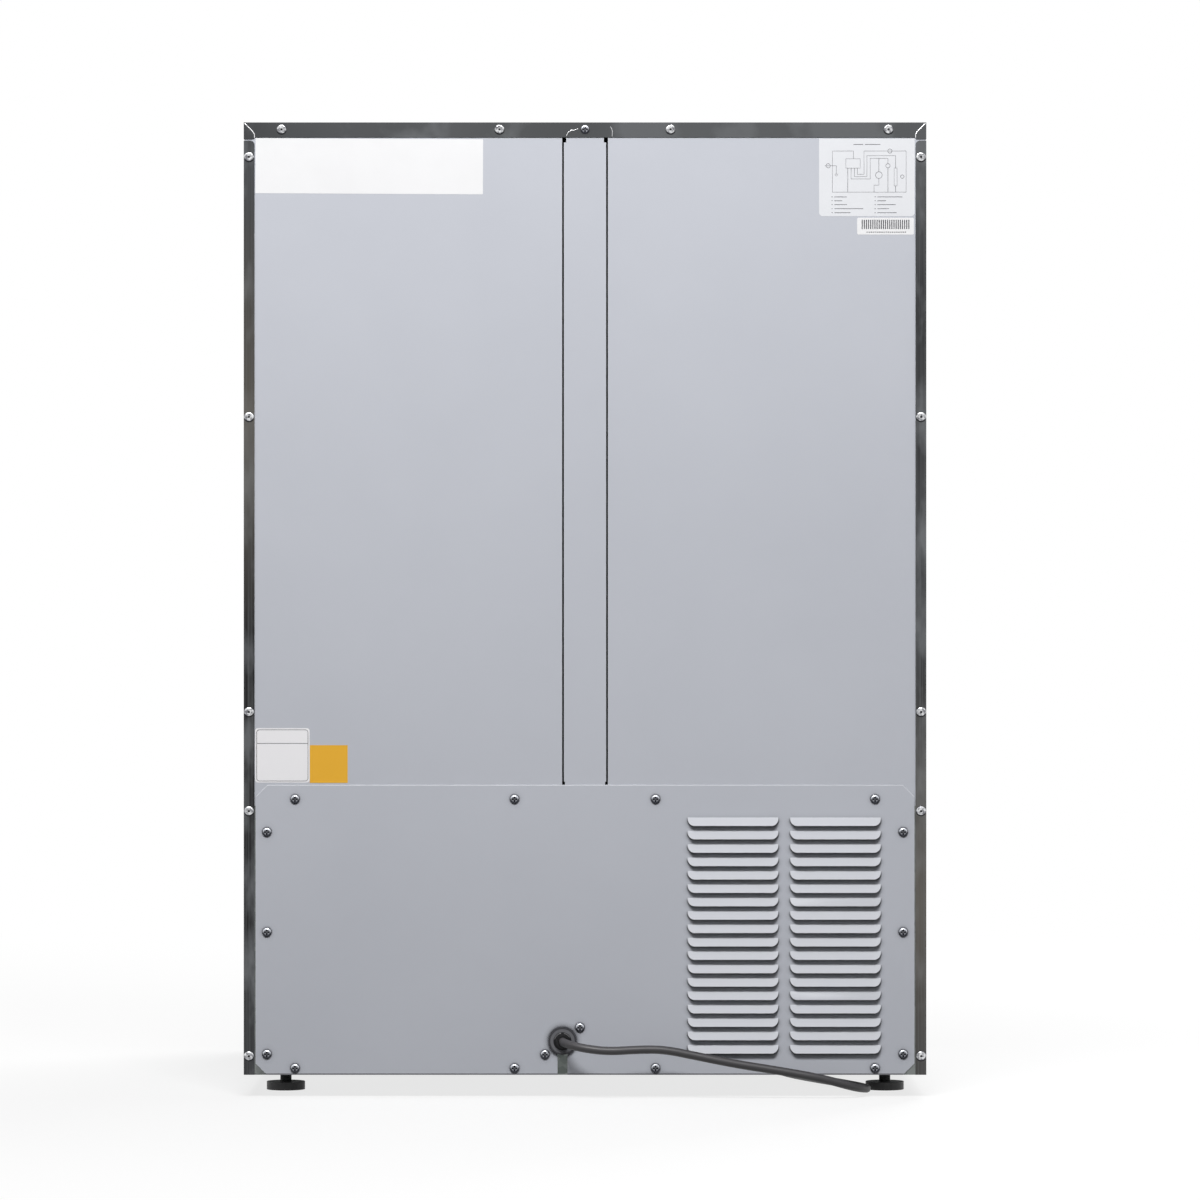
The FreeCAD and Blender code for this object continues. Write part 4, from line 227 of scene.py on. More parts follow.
def painted_sheet(name, recess_shade):
    """Pale grey coated sheet with a faint orange peel; painted highlights on its edges, painted light where
    it leans up, and painted shade in its recesses and along its lower edge.
    """
    lean_light_paint = (0.645, 0.660, 0.705)
    edge_highlight_paint = (0.70, 0.715, 0.755)
    lower_edge_shadow = (0.20, 0.20, 0.22)
    finish = Finish(name, Specular_IOR_Level=0.25)
    coat = finish.mix(finish.noise(7.0), (0.535, 0.553, 0.607), (0.580, 0.598, 0.652))
    # Painted shade in the recesses, by how open the surface lies
    shaded = finish.by_openness(recess_shade, coat, distance=6.0 * MM, low=0.64, high=0.93)
    # Painted light where the sheet leans up
    lit_leaning = finish.by_tilt(shaded, lean_light_paint, low=0.20, high=0.50)
    # Painted highlights along the edges
    edge_highlighted = finish.mix(finish.edges(0.8 * MM), lit_leaning, edge_highlight_paint)
    # A painted shadow line along the lower edge of the cabinet
    above_edge_shadow = finish.span(finish.axis("Z"), bottom + 1.0 * MM, bottom + 1.6 * MM)
    finish.colour(finish.mix(above_edge_shadow, lower_edge_shadow, edge_highlighted))
    finish.roughness(finish.noise(30.0), 0.36, 0.46)
    finish.bump(finish.noise(700.0, detail=1.0), 0.012 * MM)
    return finish.material


def fewer(lines, share, least=0.0):
    """Fewer lines in a metre, for a broader grain."""
    return tuple(max(count / share, least) for count in lines)


def brushed_steel(name, lines):
    """Brushed stainless sheet by its lines in a metre, with painted highlights on its edges, and a painted
    dark reflection where its flanges face the rear.
    """
    edge_highlight_metal = (0.60, 0.61, 0.62)
    warm_patch = (0.165, 0.150, 0.128)
    light_streak = (0.16, 0.165, 0.17)
    fine_share = 0.62
    streak_share = 0.16
    band_share = 0.22
    # Heights of the warm patches of the painted reflection on the flanges at -X and at +X, how far they
    # reach, and their strength
    patch_low = 0.17
    patch_high = 0.60
    patch_reach = 0.20
    patch_strength = 0.65
    # The painted reflection on the flanges grows paler between these heights, by this share.
    pale_from = top - 0.18
    pale_to = top - 0.02
    pale_share = 0.35
    finish = Finish(name, Metallic=1.0, Specular_Tint=(0.55, 0.55, 0.56, 1.0))
    fine = finish.noise(1.0, lines, detail=4.0)
    streaks = finish.noise(1.0, fewer(lines, 12.0), detail=0.0)
    bands = finish.noise(1.0, fewer(lines, 250.0, least=0.4), detail=0.0)
    patches = finish.noise(1.0, fewer(lines, 25.0, least=20.0), detail=4.0)

    # Open faces: three widths of grain
    band_grain = finish.math("MULTIPLY", bands, band_share)
    broad_grain = finish.math("MULTIPLY_ADD", streaks, streak_share, band_grain)
    grain = finish.math("MULTIPLY_ADD", fine, fine_share, broad_grain)
    brushed = finish.mix(grain, (0.26, 0.27, 0.28), (0.66, 0.67, 0.68))
    # Painted highlights along the edges of the open faces
    bright = finish.mix(finish.edges(1.2 * MM), brushed, edge_highlight_metal)

    # Rear flanges: a painted dark reflection, paler in patches and near the top, with one warm patch on each
    # side
    clouds = finish.span(finish.noise(5.0), 0.38, 0.62, 0.0, 0.35)
    mottle = finish.math("ADD", clouds, finish.span(patches, 0.46, 0.70, 0.0, 0.75))
    near_top = finish.span(finish.axis("Z"), pale_from, pale_to, 0.0, pale_share)
    flange_reflection = finish.mix(finish.math("ADD", near_top, mottle), (0.026, 0.026, 0.027), (0.165, 0.172, 0.180))
    patch_height = finish.span(finish.axis("X"), -10.0 * MM, 10.0 * MM, patch_low, patch_high)
    from_patch = finish.math("ABSOLUTE", finish.math("SUBTRACT", finish.axis("Z"), patch_height))
    patched = finish.mix(finish.span(from_patch, patch_reach, 0.0, 0.0, patch_strength), flange_reflection, warm_patch)
    streaked = finish.mix(finish.span(fine, 0.45, 1.0), patched, light_streak)
    on_flange = finish.span(finish.axis("Y"), panel_face - 0.2 * MM, panel_face)
    finish.colour(finish.mix(on_flange, bright, streaked))
    finish.roughness(fine, 0.36, 0.46)
    finish.bump(fine, 0.004 * MM)
    return finish.material


def plated_fastener():
    """Zinc-plated steel, with painted shade where it faces down and in its recesses."""
    finish = Finish("plated_fastener", Metallic=1.0)
    plate = finish.mix(finish.noise(900.0), (0.62, 0.64, 0.69), (0.78, 0.80, 0.85))
    # Painted shade where the surface faces down, and deeper in the recesses
    lit = finish.by_tilt((0.045, 0.047, 0.058), plate, low=-0.10, high=0.28)
    finish.colour(finish.by_openness((0.006, 0.006, 0.009), lit, distance=2.4 * MM, low=0.62, high=0.96))
    finish.roughness(finish.noise(500.0), 0.20, 0.34)
    return finish.material


def rivet_aluminium():
    """Bright aluminium with grey patches, and painted shade on its lower side and in its eye."""
    finish = Finish("rivet_aluminium", Metallic=1.0)
    patches = finish.span(finish.noise(380.0), 0.40, 0.60)
    bright = finish.mix(patches, (0.22, 0.22, 0.24), (0.84, 0.85, 0.86))
    # Painted shade where the surface faces down, and deeper in the eye
    lit = finish.by_tilt((0.03, 0.03, 0.035), bright, low=-0.30, high=0.08)
    finish.colour(finish.by_openness((0.004, 0.004, 0.005), lit, distance=2.0 * MM, low=0.45, high=0.92))
    finish.roughness(finish.noise(400.0), 0.16, 0.30)
    return finish.material


def galvanised_sheet(name, dark, light):
    """Zinc with its spangle."""
    finish = Finish(name, Metallic=1.0)
    finish.colour(finish.mix(finish.cells(160.0), dark, light))
    finish.roughness(finish.noise(60.0), 0.34, 0.52)
    finish.bump(finish.noise(900.0), 0.01 * MM)
    return finish.material


ROUGHNESS_SPREAD = 0.05


def moulded(name, dark, light, rough, grain=1500.0, depth=0.02 * MM):
    """Plastic, rubber, ink or coated metal with a fine grain."""
    finish = Finish(name)
    finish.colour(finish.mix(finish.noise(14.0), dark, light))
    finish.roughness(finish.noise(60.0), rough - ROUGHNESS_SPREAD, rough + ROUGHNESS_SPREAD)
    finish.bump(finish.noise(grain, detail=1.0), depth)
    return finish.material


def drawn_metal(name, dark, light, rough):
    """Bright metal of tubes, wires and fins."""
    finish = Finish(name, Metallic=1.0)
    finish.colour(finish.mix(finish.noise(45.0), dark, light))
    finish.roughness(finish.noise(120.0), rough - ROUGHNESS_SPREAD, rough + ROUGHNESS_SPREAD)
    return finish.material


def rigid_foam():
    """Yellowish insulation with open cells, with painted shade where it lies enclosed, as behind the slits
    of the panels.
    """
    finish = Finish("rigid_foam", Roughness=0.9)
    cells = finish.mix(finish.noise(220.0, detail=3.0), (0.66, 0.57, 0.36), (0.82, 0.74, 0.53))
    # Painted shade where the foam lies enclosed
    finish.colour(finish.by_openness((0.010, 0.010, 0.011), cells, distance=30.0 * MM, low=0.25, high=0.85))
    finish.bump(finish.noise(900.0), 0.2 * MM)
    return finish.material


def screw_foot():
    """Black foot with a threaded stud above its disc."""
    disc_top = 7.0 * MM
    finish = Finish("screw_foot")
    finish.colour(finish.mix(finish.noise(90.0), (0.018, 0.018, 0.019), (0.034, 0.034, 0.036)))
    finish.roughness(finish.noise(300.0), 0.42, 0.58)
    stud = finish.span(finish.axis("Z"), disc_top, disc_top + 0.2 * MM)
    finish.bump(finish.math("MULTIPLY", stud, finish.rings(210.0, "Z")), 0.4 * MM)
    return finish.material


def grommet_plastic():
    """Grey flange with a dark rim, and a black boss and throat."""
    rim_plastic = (0.055, 0.055, 0.062)
    finish = Finish("grommet_plastic", Specular_IOR_Level=0.2)
    grain = finish.noise(500.0)
    disc = finish.mix(grain, (0.135, 0.137, 0.150), (0.175, 0.177, 0.190))
    on_rim = finish.span(finish.radius(grommet_middle), 10.2 * MM, 11.0 * MM)
    flange = finish.mix(on_rim, disc, rim_plastic)
    boss = finish.mix(grain, (0.006, 0.006, 0.007), (0.014, 0.014, 0.015))
    on_boss = finish.span(finish.axis("Y"), rear + 3.0 * MM, rear + 3.3 * MM)
    finish.colour(finish.mix(on_boss, flange, boss))
    finish.roughness(grain, 0.40, 0.55)
    return finish.material


def display_window():
    """Smoked window over the digits."""
    finish = Finish("display_window", Coat_Weight=0.6, Coat_Roughness=0.05)
    finish.colour(finish.mix(finish.noise(120.0), (0.006, 0.007, 0.010), (0.012, 0.013, 0.018)))
    finish.roughness(finish.noise(200.0), 0.08, 0.14)
    return finish.material


def cord_jacket():
    """Dark grey jacket, with painted light on its upper side and painted shade on its lower side."""
    finish = Finish("cord_jacket")
    cloud = finish.noise(14.0)
    upper = finish.mix(cloud, (0.052, 0.050, 0.054), (0.072, 0.069, 0.074))
    under = finish.mix(cloud, (0.010, 0.009, 0.010), (0.018, 0.017, 0.019))
    # Painted light on the upper side and painted shade on the lower side
    finish.colour(finish.by_tilt(under, upper, low=-0.45, high=0.45))
    finish.roughness(finish.noise(60.0), 0.40, 0.50)
    finish.bump(finish.noise(900.0, detail=1.0), 0.03 * MM)
    return finish.material


def opal_cover():
    """Ribbed opal cover, lit from inside."""
    finish = Finish("opal_cover", Roughness=0.3, Emission_Strength=8.0)
    finish.glow(finish.mix(finish.rings(60.0, "X"), (0.86, 0.90, 0.93), (1.0, 1.0, 1.0)))
    return finish.material


def lit_digits():
    """Pale lit segments."""
    finish = Finish("lit_digits", Roughness=0.4, Emission_Strength=1.4)
    finish.glow(finish.mix(finish.noise(400.0), (0.55, 0.85, 1.0), (0.75, 0.95, 1.0)))
    return finish.material


CORD_THICKNESS = 7.3
CORD_DIAMETER = CORD_THICKNESS * MM
CORD_EXIT = (19.7, 320.5, 49.6)
CORD_ROUTE = [
    CORD_EXIT,
    (19.7, 333.0, 49.6),
    (13.34, 343.8, 48.0),
    (-0.66, 350.0, 45.2),
    (-20.08, 350.5, 42.9),
    (-44.9, 348.0, 44.2),
    (-68.12, 346.5, 44.4),
    (-96.12, 345.0, 38.6),
    (-133.04, 343.0, 31.0),
    (-171.86, 340.5, 24.9),
    (-208.13, 338.0, 18.1),
    (-236.13, 324.5, 9.2),
    (-250.13, 295.5, 5.6),
    (-243.13, 259.5, 4.8),
    (-225.95, 217.5, 4.75),
    (-204.95, 172.5, 4.75),
    (-185.86, 125.5, 4.75),
    (-174.08, 77.5, 4.75),
]
COIL_CENTRE = Vector((-96.0, -40.0, 0.0))
COIL_START = math.radians(-150.0)
COIL_OUTER = 48.2
COIL_INNER = 28.2
COIL_PITCH = 8.0
COIL_FLOOR = 4.75
COIL_LAYER = 8.0
COIL_LEAD = 7.3
COIL_APPROACH = 32.0
TAIL_LENGTH = 46.0
TAIL_TURN = math.radians(24.0)
PLUG_HEIGHT = 8.1
POINTS_IN_TURN = 16
FULL_TURN = 2 * math.pi
SPLINE_ORDER = 3
CORD_ROUNDNESS = 5
CORD_FINENESS = 6

wound_in = FULL_TURN * (COIL_OUTER - COIL_INNER) / COIL_PITCH
climbed = wound_in + math.pi
wound_out = climbed + wound_in
coil_step = FULL_TURN / POINTS_IN_TURN
# A quadratic spline runs inside the corners of its points by this share of the radius.
drawn_in = (3 + math.cos(coil_step)) / 4


def level(angle):
    """A level direction, by its angle from +X."""
    return Vector((math.cos(angle), math.sin(angle), 0.0))


def coil_point(angle, widening=1.0):
    """A point of the coil, by the angle wound: in on the ground, half a turn of climb, and out on top."""
    reach = COIL_OUTER - COIL_PITCH * angle / FULL_TURN
    height = COIL_FLOOR
    if angle > climbed:
        reach = COIL_INNER + COIL_PITCH * (angle - climbed) / FULL_TURN
        height = COIL_FLOOR + COIL_LAYER
    elif angle > wound_in:
        share = (angle - wound_in) / math.pi
        reach = COIL_INNER - COIL_PITCH / 2 * share * (1 - share)
        height = COIL_FLOOR + COIL_LAYER * share * share * (3 - 2 * share)
    point = COIL_CENTRE + level(COIL_START + angle) * (reach * widening)
    point.z = height
    return point


def coil_heading(angle):
    """The coil's direction on the level at its first or last point."""
    slope = COIL_PITCH / FULL_TURN
    if angle < climbed:
        slope = -slope
    outward = COIL_START + angle
    return (level(outward + math.pi / 2) * COIL_OUTER + level(outward) * slope).normalized()


def turned_level(direction, angle):
    """A direction turned to the left on the level."""
    return Vector((direction.x * math.cos(angle) - direction.y * math.sin(angle),
                   direction.x * math.sin(angle) + direction.y * math.cos(angle), direction.z))


coil_entry = coil_point(0.0) - coil_heading(0.0) * COIL_LEAD
tail_heading = coil_heading(wound_out)
plug_heading = turned_level(tail_heading, TAIL_TURN)
tail_start = coil_point(wound_out)
tail_corner = tail_start + tail_heading * (TAIL_LENGTH / 2 / math.cos(TAIL_TURN / 2))
tail_corner.z = (tail_start.z + PLUG_HEIGHT) / 2
tail_end = tail_start + turned_level(tail_heading, TAIL_TURN / 2) * TAIL_LENGTH
tail_end.z = PLUG_HEIGHT
plug_entry = tail_end + plug_heading * COIL_LEAD

cord_points = [Vector(point) for point in CORD_ROUTE]
cord_points += [coil_entry - coil_heading(0.0) * COIL_APPROACH, coil_entry]
for index in range(round(wound_out / coil_step) + 1):
    cord_points.append(coil_point(index * coil_step, 1 / drawn_in))
cord_points += [tail_corner, tail_end, plug_entry]

LINE_ROUNDNESS = 1


def add_object(name, data, material, body):
    """Puts a new piece on a body, with a finish."""
    piece = bpy.data.objects.new(name, data)
    scene.collection.objects.link(piece)
    data.materials.append(material)
    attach(piece, body)
    return piece


def new_curve(name, radius, roundness):
    """An empty round curve."""
    data = bpy.data.curves.new(name, "CURVE")
    data.dimensions = "3D"
    data.bevel_depth = radius
    data.bevel_resolution = roundness
    data.use_fill_caps = True
    return data


def add_spline(data, kind, points):
    """One more spline of a curve, through or near some points."""
    spline = data.splines.new(kind)
    spline.points.add(len(points) - 1)
    for target, point in zip(spline.points, points):
        target.co = (*point, 1.0)
    return spline


def add_curve(name, paths, radius, material, body, closed=False):
    """Thin round lines through points."""
    data = new_curve(name, radius, LINE_ROUNDNESS)
    for points in paths:
        add_spline(data, "POLY", points).use_cyclic_u = closed
    return add_object(name, data, material, body)


def add_mesh(name, fill, material, body):
    """A piece whose mesh is filled by a function that is given an empty bmesh."""
    work = bmesh.new()
    fill(work)
    bmesh.ops.recalc_face_normals(work, faces=work.faces)
    data = bpy.data.meshes.new(name)
    work.to_mesh(data)
    work.free()
    return add_object(name, data, material, body)


def add_band(work, one, other):
    """Faces between two closed loops of as many points."""
    for index in range(len(one)):
        following = (index + 1) % len(one)
        work.faces.new((one[index], one[following], other[following], other[index]))


cord_material = cord_jacket()
cord_data = new_curve("power_lead", CORD_DIAMETER / 2, CORD_ROUNDNESS)
cord_data.resolution_u = CORD_FINENESS
cord_spline = add_spline(cord_data, "NURBS", [point * MM for point in cord_points])
cord_spline.order_u = SPLINE_ORDER
cord_spline.use_endpoint_u = True
power_lead = add_object("power_lead", cord_data, cord_material, "cabinet")
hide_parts("power_cord", "power_cord_coil")

ARC_STEPS = 6


def rounded_rectangle(middle, width, height, corners):
    """Outline points round a middle, with a radius for each corner from the upper one on the + side."""
    points = []
    for quarter, (across, up) in enumerate(((1, 1), (-1, 1), (-1, -1), (1, -1))):
        corner = corners[quarter]
        centre_x = middle[0] + across * (width / 2 - corner)
        centre_y = middle[1] + up * (height / 2 - corner)
        for step in range(ARC_STEPS + 1 if corner else 1):
            angle = math.pi / 2 * (quarter + step / ARC_STEPS)
            points.append((centre_x + corner * math.cos(angle), centre_y + corner * math.sin(angle)))
    return points


# Tie of the coil: a soft strap round the turns
TIE_ANGLE = math.radians(-60.0)
TIE_WIDTH = 12.0 * MM
TIE_SHEET = 0.8 * MM
TIE_CORNER = 3.2 * MM
TIE_GAP = 0.3 * MM
tie_room = CORD_DIAMETER / 2 + TIE_GAP + TIE_SHEET
tie_inner_reach = (COIL_INNER - COIL_PITCH / 2) * MM - tie_room
tie_outer_reach = COIL_OUTER * MM + tie_room
tie_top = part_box("cord_tie")[1].z


def fill_tie(work):
    width = tie_outer_reach - tie_inner_reach
    middle = (tie_outer_reach + tie_inner_reach) / 2
    radial = level(TIE_ANGLE)
    side = level(TIE_ANGLE + math.pi / 2)
    outlines = []
    for inset in (0.0, TIE_SHEET):
        outlines.append(rounded_rectangle((0.0, tie_top / 2), width - inset * 2, tie_top - inset * 2,
                                          [TIE_CORNER - inset] * 4))
    outer, inner = outlines
    loops = []
    for outline, edge in ((outer, -1), (outer, 1), (inner, 1), (inner, -1)):
        loop = []
        for across, height in outline:
            place = COIL_CENTRE * MM + radial * (middle + across) + side * (edge * TIE_WIDTH / 2)
            place.z = height
            loop.append(work.verts.new(place))
        loops.append(loop)
    for one, other in zip(loops, loops[1:] + loops[:1]):
        add_band(work, one, other)


tie_material = moulded("tie_strap", (0.016, 0.016, 0.018), (0.03, 0.03, 0.033), 0.8,
                       grain=2600.0, depth=0.1 * MM)
cord_strap = add_mesh("cord_strap", fill_tie, tie_material, "cabinet")
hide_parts("cord_tie")

# The plug's blades begin at this distance from the end of the cord.
PLUG_GRIP_END = 61.2 * MM


def plug_plastic():
    """Black plug with brass blades past the end of its grip."""
    finish = Finish("plug_plastic")
    reach = finish.along(plug_heading, plug_entry * MM)
    on_blades = finish.span(reach, PLUG_GRIP_END, PLUG_GRIP_END + 0.2 * MM)
    grain = finish.noise(400.0)
    grip = finish.mix(grain, (0.018, 0.018, 0.02), (0.034, 0.034, 0.037))
    brass = finish.mix(grain, (0.55, 0.42, 0.20), (0.70, 0.56, 0.30))
    finish.colour(finish.mix(on_blades, grip, brass))
    finish.feed(finish.shader.inputs["Metallic"], on_blades)
    finish.roughness(grain, 0.30, 0.45)
    return finish.material


# Grain of the steel, as lines in a metre along X, Y and Z, so that it runs on round the folds
UPRIGHT_GRAIN = (1600.0, 1600.0, 4.0)
LID_GRAIN = (4.0, 1600.0, 4.0)
DOOR_GRAIN = (4.0, 4.0, 1600.0)

# Finishes of the CAD nodes, by the record's slots and then for single nodes
slot_finish = {
    "stainless_steel": brushed_steel("steel_upright", UPRIGHT_GRAIN),
    # The second colour of a painted sheet is its painted shade in recesses, faint on the panels
    "pale_painted_sheet": painted_sheet("panel_paint", (0.46, 0.475, 0.52)),
    "galvanised_sheet": galvanised_sheet("galvanised_sheet", (0.11, 0.118, 0.117), (0.20, 0.212, 0.208)),
    "fasteners": plated_fastener(),
    "black_sheet": moulded("black_sheet", (0.014, 0.014, 0.015), (0.024, 0.024, 0.026), 0.42),
    "shelf_wire": drawn_metal("shelf_wire", (0.62, 0.62, 0.63), (0.78, 0.78, 0.79), 0.16),
    "coil_metal": drawn_metal("coil_metal", (0.52, 0.53, 0.54), (0.70, 0.71, 0.72), 0.36),
    "copper_tube": drawn_metal("copper_tube", (0.56, 0.27, 0.15), (0.74, 0.42, 0.26), 0.28),
    "foam": rigid_foam(),
    "white_plastic": moulded("white_plastic", (0.77, 0.78, 0.79), (0.82, 0.83, 0.83), 0.36),
    "grey_plastic": moulded("grey_plastic", (0.24, 0.245, 0.255), (0.30, 0.305, 0.315), 0.46),
    "black_plastic": moulded("black_plastic", (0.016, 0.016, 0.017), (0.030, 0.030, 0.031), 0.46),
    "foot_plastic": screw_foot(),
    "display_window": display_window(),
    "light_cover": opal_cover(),
    "gasket_rubber": moulded("gasket_rubber", (0.075, 0.075, 0.08), (0.105, 0.105, 0.11), 0.6),
    "grommet_plastic": grommet_plastic(),
    "cord_rubber": cord_material,
}
node_finish = {
    "top_panel": brushed_steel("steel_lengthways", LID_GRAIN),
    "door_skin": brushed_steel("steel_door", DOOR_GRAIN),
    # Deep painted shade in the recesses, under the louvres of the cover
    "rear_cover": painted_sheet("cover_paint", (0.050, 0.051, 0.058)),
    "flange_rivets": rivet_aluminium(),
    # A darker copy of the zinc: painted shade of the slot the clamp sits in
    "cord_clamp": galvanised_sheet("shaded_clamp_zinc", (0.065, 0.076, 0.070), (0.17, 0.185, 0.178)),
    "power_plug": plug_plastic(),
}
for entry in frame["record"]["subparts"]:
    node = frame["nodes"][entry["node"]]
    node.data.materials.clear()
    node.data.materials.append(node_finish.get(entry["node"], slot_finish[entry["material_slot"]]))

# Stickers of the rear panels, as thin plates; shares run from their +X edge and from their lower edge
STICKER_SHEET = 0.12 * MM
RING_STEPS = 16


class Sticker:
    """A sticker on the rear panels, by its edges in X and Z in millimetres."""

    def __init__(self, name, left, right, low, high, corners, material, tilt=0.0):
        self.left = left * MM
        self.low = low * MM
        self.width = (left - right) * MM
        self.height = (high - low) * MM
        self.tilt = math.radians(tilt)
        self.name = name
        self.face = panel_face + STICKER_SHEET
        radii = [corner * MM for corner in corners]
        outline = rounded_rectangle((0.0, 0.0), self.width, self.height, radii)
        add_mesh(name, lambda work: self.plate(work, outline), material, "cabinet")

    def plate(self, work, outline):
        """A flat plate on the panels, from an outline round the sticker's middle."""
        middle_x = self.left - self.width / 2
        middle_z = self.low + self.height / 2
        loops = []
        for depth in (panel_face, self.face):
            loop = []
            for across, up in outline:
                x = middle_x + across * math.cos(self.tilt) - up * math.sin(self.tilt)
                z = middle_z + across * math.sin(self.tilt) + up * math.cos(self.tilt)
                loop.append(work.verts.new((x, depth, z)))
            loops.append(loop)
            work.faces.new(loop)
        add_band(work, *loops)

    def at(self, across, up):
        """A point on the sticker's face, by shares of its width and height."""
        return (self.left - across * self.width, self.face, self.low + up * self.height)

    def lines(self, name, paths, width, material, closed=False):
        """Printed lines through points given as shares, with a width in millimetres."""
        places = [[self.at(*point) for point in path] for path in paths]
        radius = width * MM / 2
        add_curve(self.name + name, places, radius, material, "cabinet", closed)


def circle(across, up, radius, shape):
    """A printed ring on a sticker, by shares, and by the ratio of its width to its height."""
    turns = [FULL_TURN * step / RING_STEPS for step in range(RING_STEPS)]
    return [(across + radius * math.cos(turn), up + radius * shape * math.sin(turn)) for turn in turns]


def vinyl(name, dark, light, rough=0.34):
    """Smooth printed film."""
    return moulded(name, dark, light, rough, grain=300.0, depth=0.01 * MM)


white_vinyl = vinyl("white_vinyl", (0.84, 0.84, 0.85), (0.88, 0.88, 0.89))
wiring_vinyl = vinyl("wiring_vinyl", (0.76, 0.77, 0.80), (0.80, 0.81, 0.84))
bright_vinyl = vinyl("bright_vinyl", (0.94, 0.93, 0.95), (0.97, 0.96, 0.98))
orange_vinyl = vinyl("orange_vinyl", (0.84, 0.44, 0.026), (0.90, 0.48, 0.034), 0.36)
grey_ink = moulded("grey_ink", (0.16, 0.16, 0.18), (0.22, 0.22, 0.24), 0.5)
dark_ink = moulded("dark_ink", (0.055, 0.055, 0.065), (0.085, 0.085, 0.095), 0.5)

Sticker("name_sticker", left=288.3, right=89.2, low=790.6, high=838.8, corners=[0.6] * 4,
        material=white_vinyl, tilt=0.3)

# Wiring sticker: the lines of a generic circuit, and bars in place of words
WIRE_LINE = 0.40
WIRES = [
    [(0.36, 0.74), (0.36, 0.84), (0.14, 0.84), (0.14, 0.31), (0.91, 0.31), (0.91, 0.84), (0.47, 0.84),
     (0.47, 0.54), (0.40, 0.54), (0.40, 0.62)],
    [(0.80, 0.62), (0.80, 0.78), (0.50, 0.78), (0.50, 0.51), (0.37, 0.51), (0.37, 0.62)],
    [(0.72, 0.68), (0.72, 0.745), (0.535, 0.745), (0.535, 0.48), (0.335, 0.48), (0.335, 0.62)],
    [(0.625, 0.745), (0.625, 0.575)],
    [(0.625, 0.485), (0.625, 0.40), (0.575, 0.40), (0.575, 0.31)],
    [(0.72, 0.62), (0.72, 0.31)],
    [(0.80, 0.39), (0.80, 0.31)],
    [(0.30, 0.62), (0.30, 0.31)],
    [(0.06, 0.65), (0.18, 0.65), (0.18, 0.54)],
]
BOXES = [
    [(0.28, 0.62), (0.43, 0.62), (0.43, 0.74), (0.28, 0.74)],
    [(0.785, 0.39), (0.815, 0.39), (0.815, 0.62), (0.785, 0.62)],
]
ROUNDS = (
    (0.74, 0.84, 0.022),
    (0.72, 0.65, 0.022),
    (0.625, 0.53, 0.035),
    (0.095, 0.65, 0.022),
    (0.87, 0.51, 0.018),
)
EARTH_MARK = [(0.165, 0.54), (0.195, 0.54), (0.18, 0.515)]
KEY_LINE = 0.62
TITLE_BARS = [[(0.36, 0.925), (0.46, 0.925)], [(0.48, 0.925), (0.64, 0.925)]]
# Each row of the key has a height, and in each column a short tick and one bar of its own length.
KEY_COLUMNS = (0.13, 0.58)
KEY_TICK = 0.012
KEY_INDENT = 0.03
KEY_ROWS = (
    (0.250, (0.13, 0.26)),
    (0.200, (0.08, 0.09)),
    (0.150, (0.13, 0.19)),
    (0.098, (0.30, 0.12)),
    (0.046, (0.17, 0.20)),
)

wiring = Sticker("wiring_sticker", left=-204.7, right=-288.4, low=771.0, high=838.9,
                 corners=[0.0, 0.0, 3.2, 3.2], material=wiring_vinyl)
wiring_shape = wiring.width / wiring.height
wiring.lines("_circuit", WIRES, WIRE_LINE, dark_ink)
rounds = [circle(across, up, radius, wiring_shape) for across, up, radius in ROUNDS]
wiring.lines("_symbols", BOXES + rounds + [EARTH_MARK], WIRE_LINE, dark_ink, closed=True)
key_bars = list(TITLE_BARS)
for up, lengths in KEY_ROWS:
    for start, length in zip(KEY_COLUMNS, lengths):
        key_bars.append([(start, up), (start + KEY_TICK, up)])
        key_bars.append([(start + KEY_INDENT, up), (start + KEY_INDENT + length, up)])
wiring.lines("_key", key_bars, KEY_LINE, grey_ink)

# Bar sticker: even bars, and dashes in place of digits
BAR_COUNT = 23
BAR_FIRST = 0.09
BAR_REACH = 0.82
BAR_HEIGHTS = (0.34, 0.88)
BAR_LINE = 0.95
DASH_HEIGHT = 0.15
DASH_LENGTH = 0.025
DASH_LINE = 0.8
DASH_MARGIN = 2
bar_sticker = Sticker("bar_sticker", left=-238.0, right=-287.7, low=754.9, high=769.7, corners=[1.4] * 4,
                      material=white_vinyl)
bar_places = [BAR_FIRST + BAR_REACH * index / (BAR_COUNT - 1) for index in range(BAR_COUNT)]
bars = [[(across, up) for up in BAR_HEIGHTS] for across in bar_places]
bar_sticker.lines("_bars", bars, BAR_LINE, dark_ink)
dashes = []
for across in bar_places[DASH_MARGIN:-DASH_MARGIN]:
    dashes.append([(across, DASH_HEIGHT), (across + DASH_LENGTH, DASH_HEIGHT)])
bar_sticker.lines("_dashes", dashes, DASH_LINE, dark_ink)

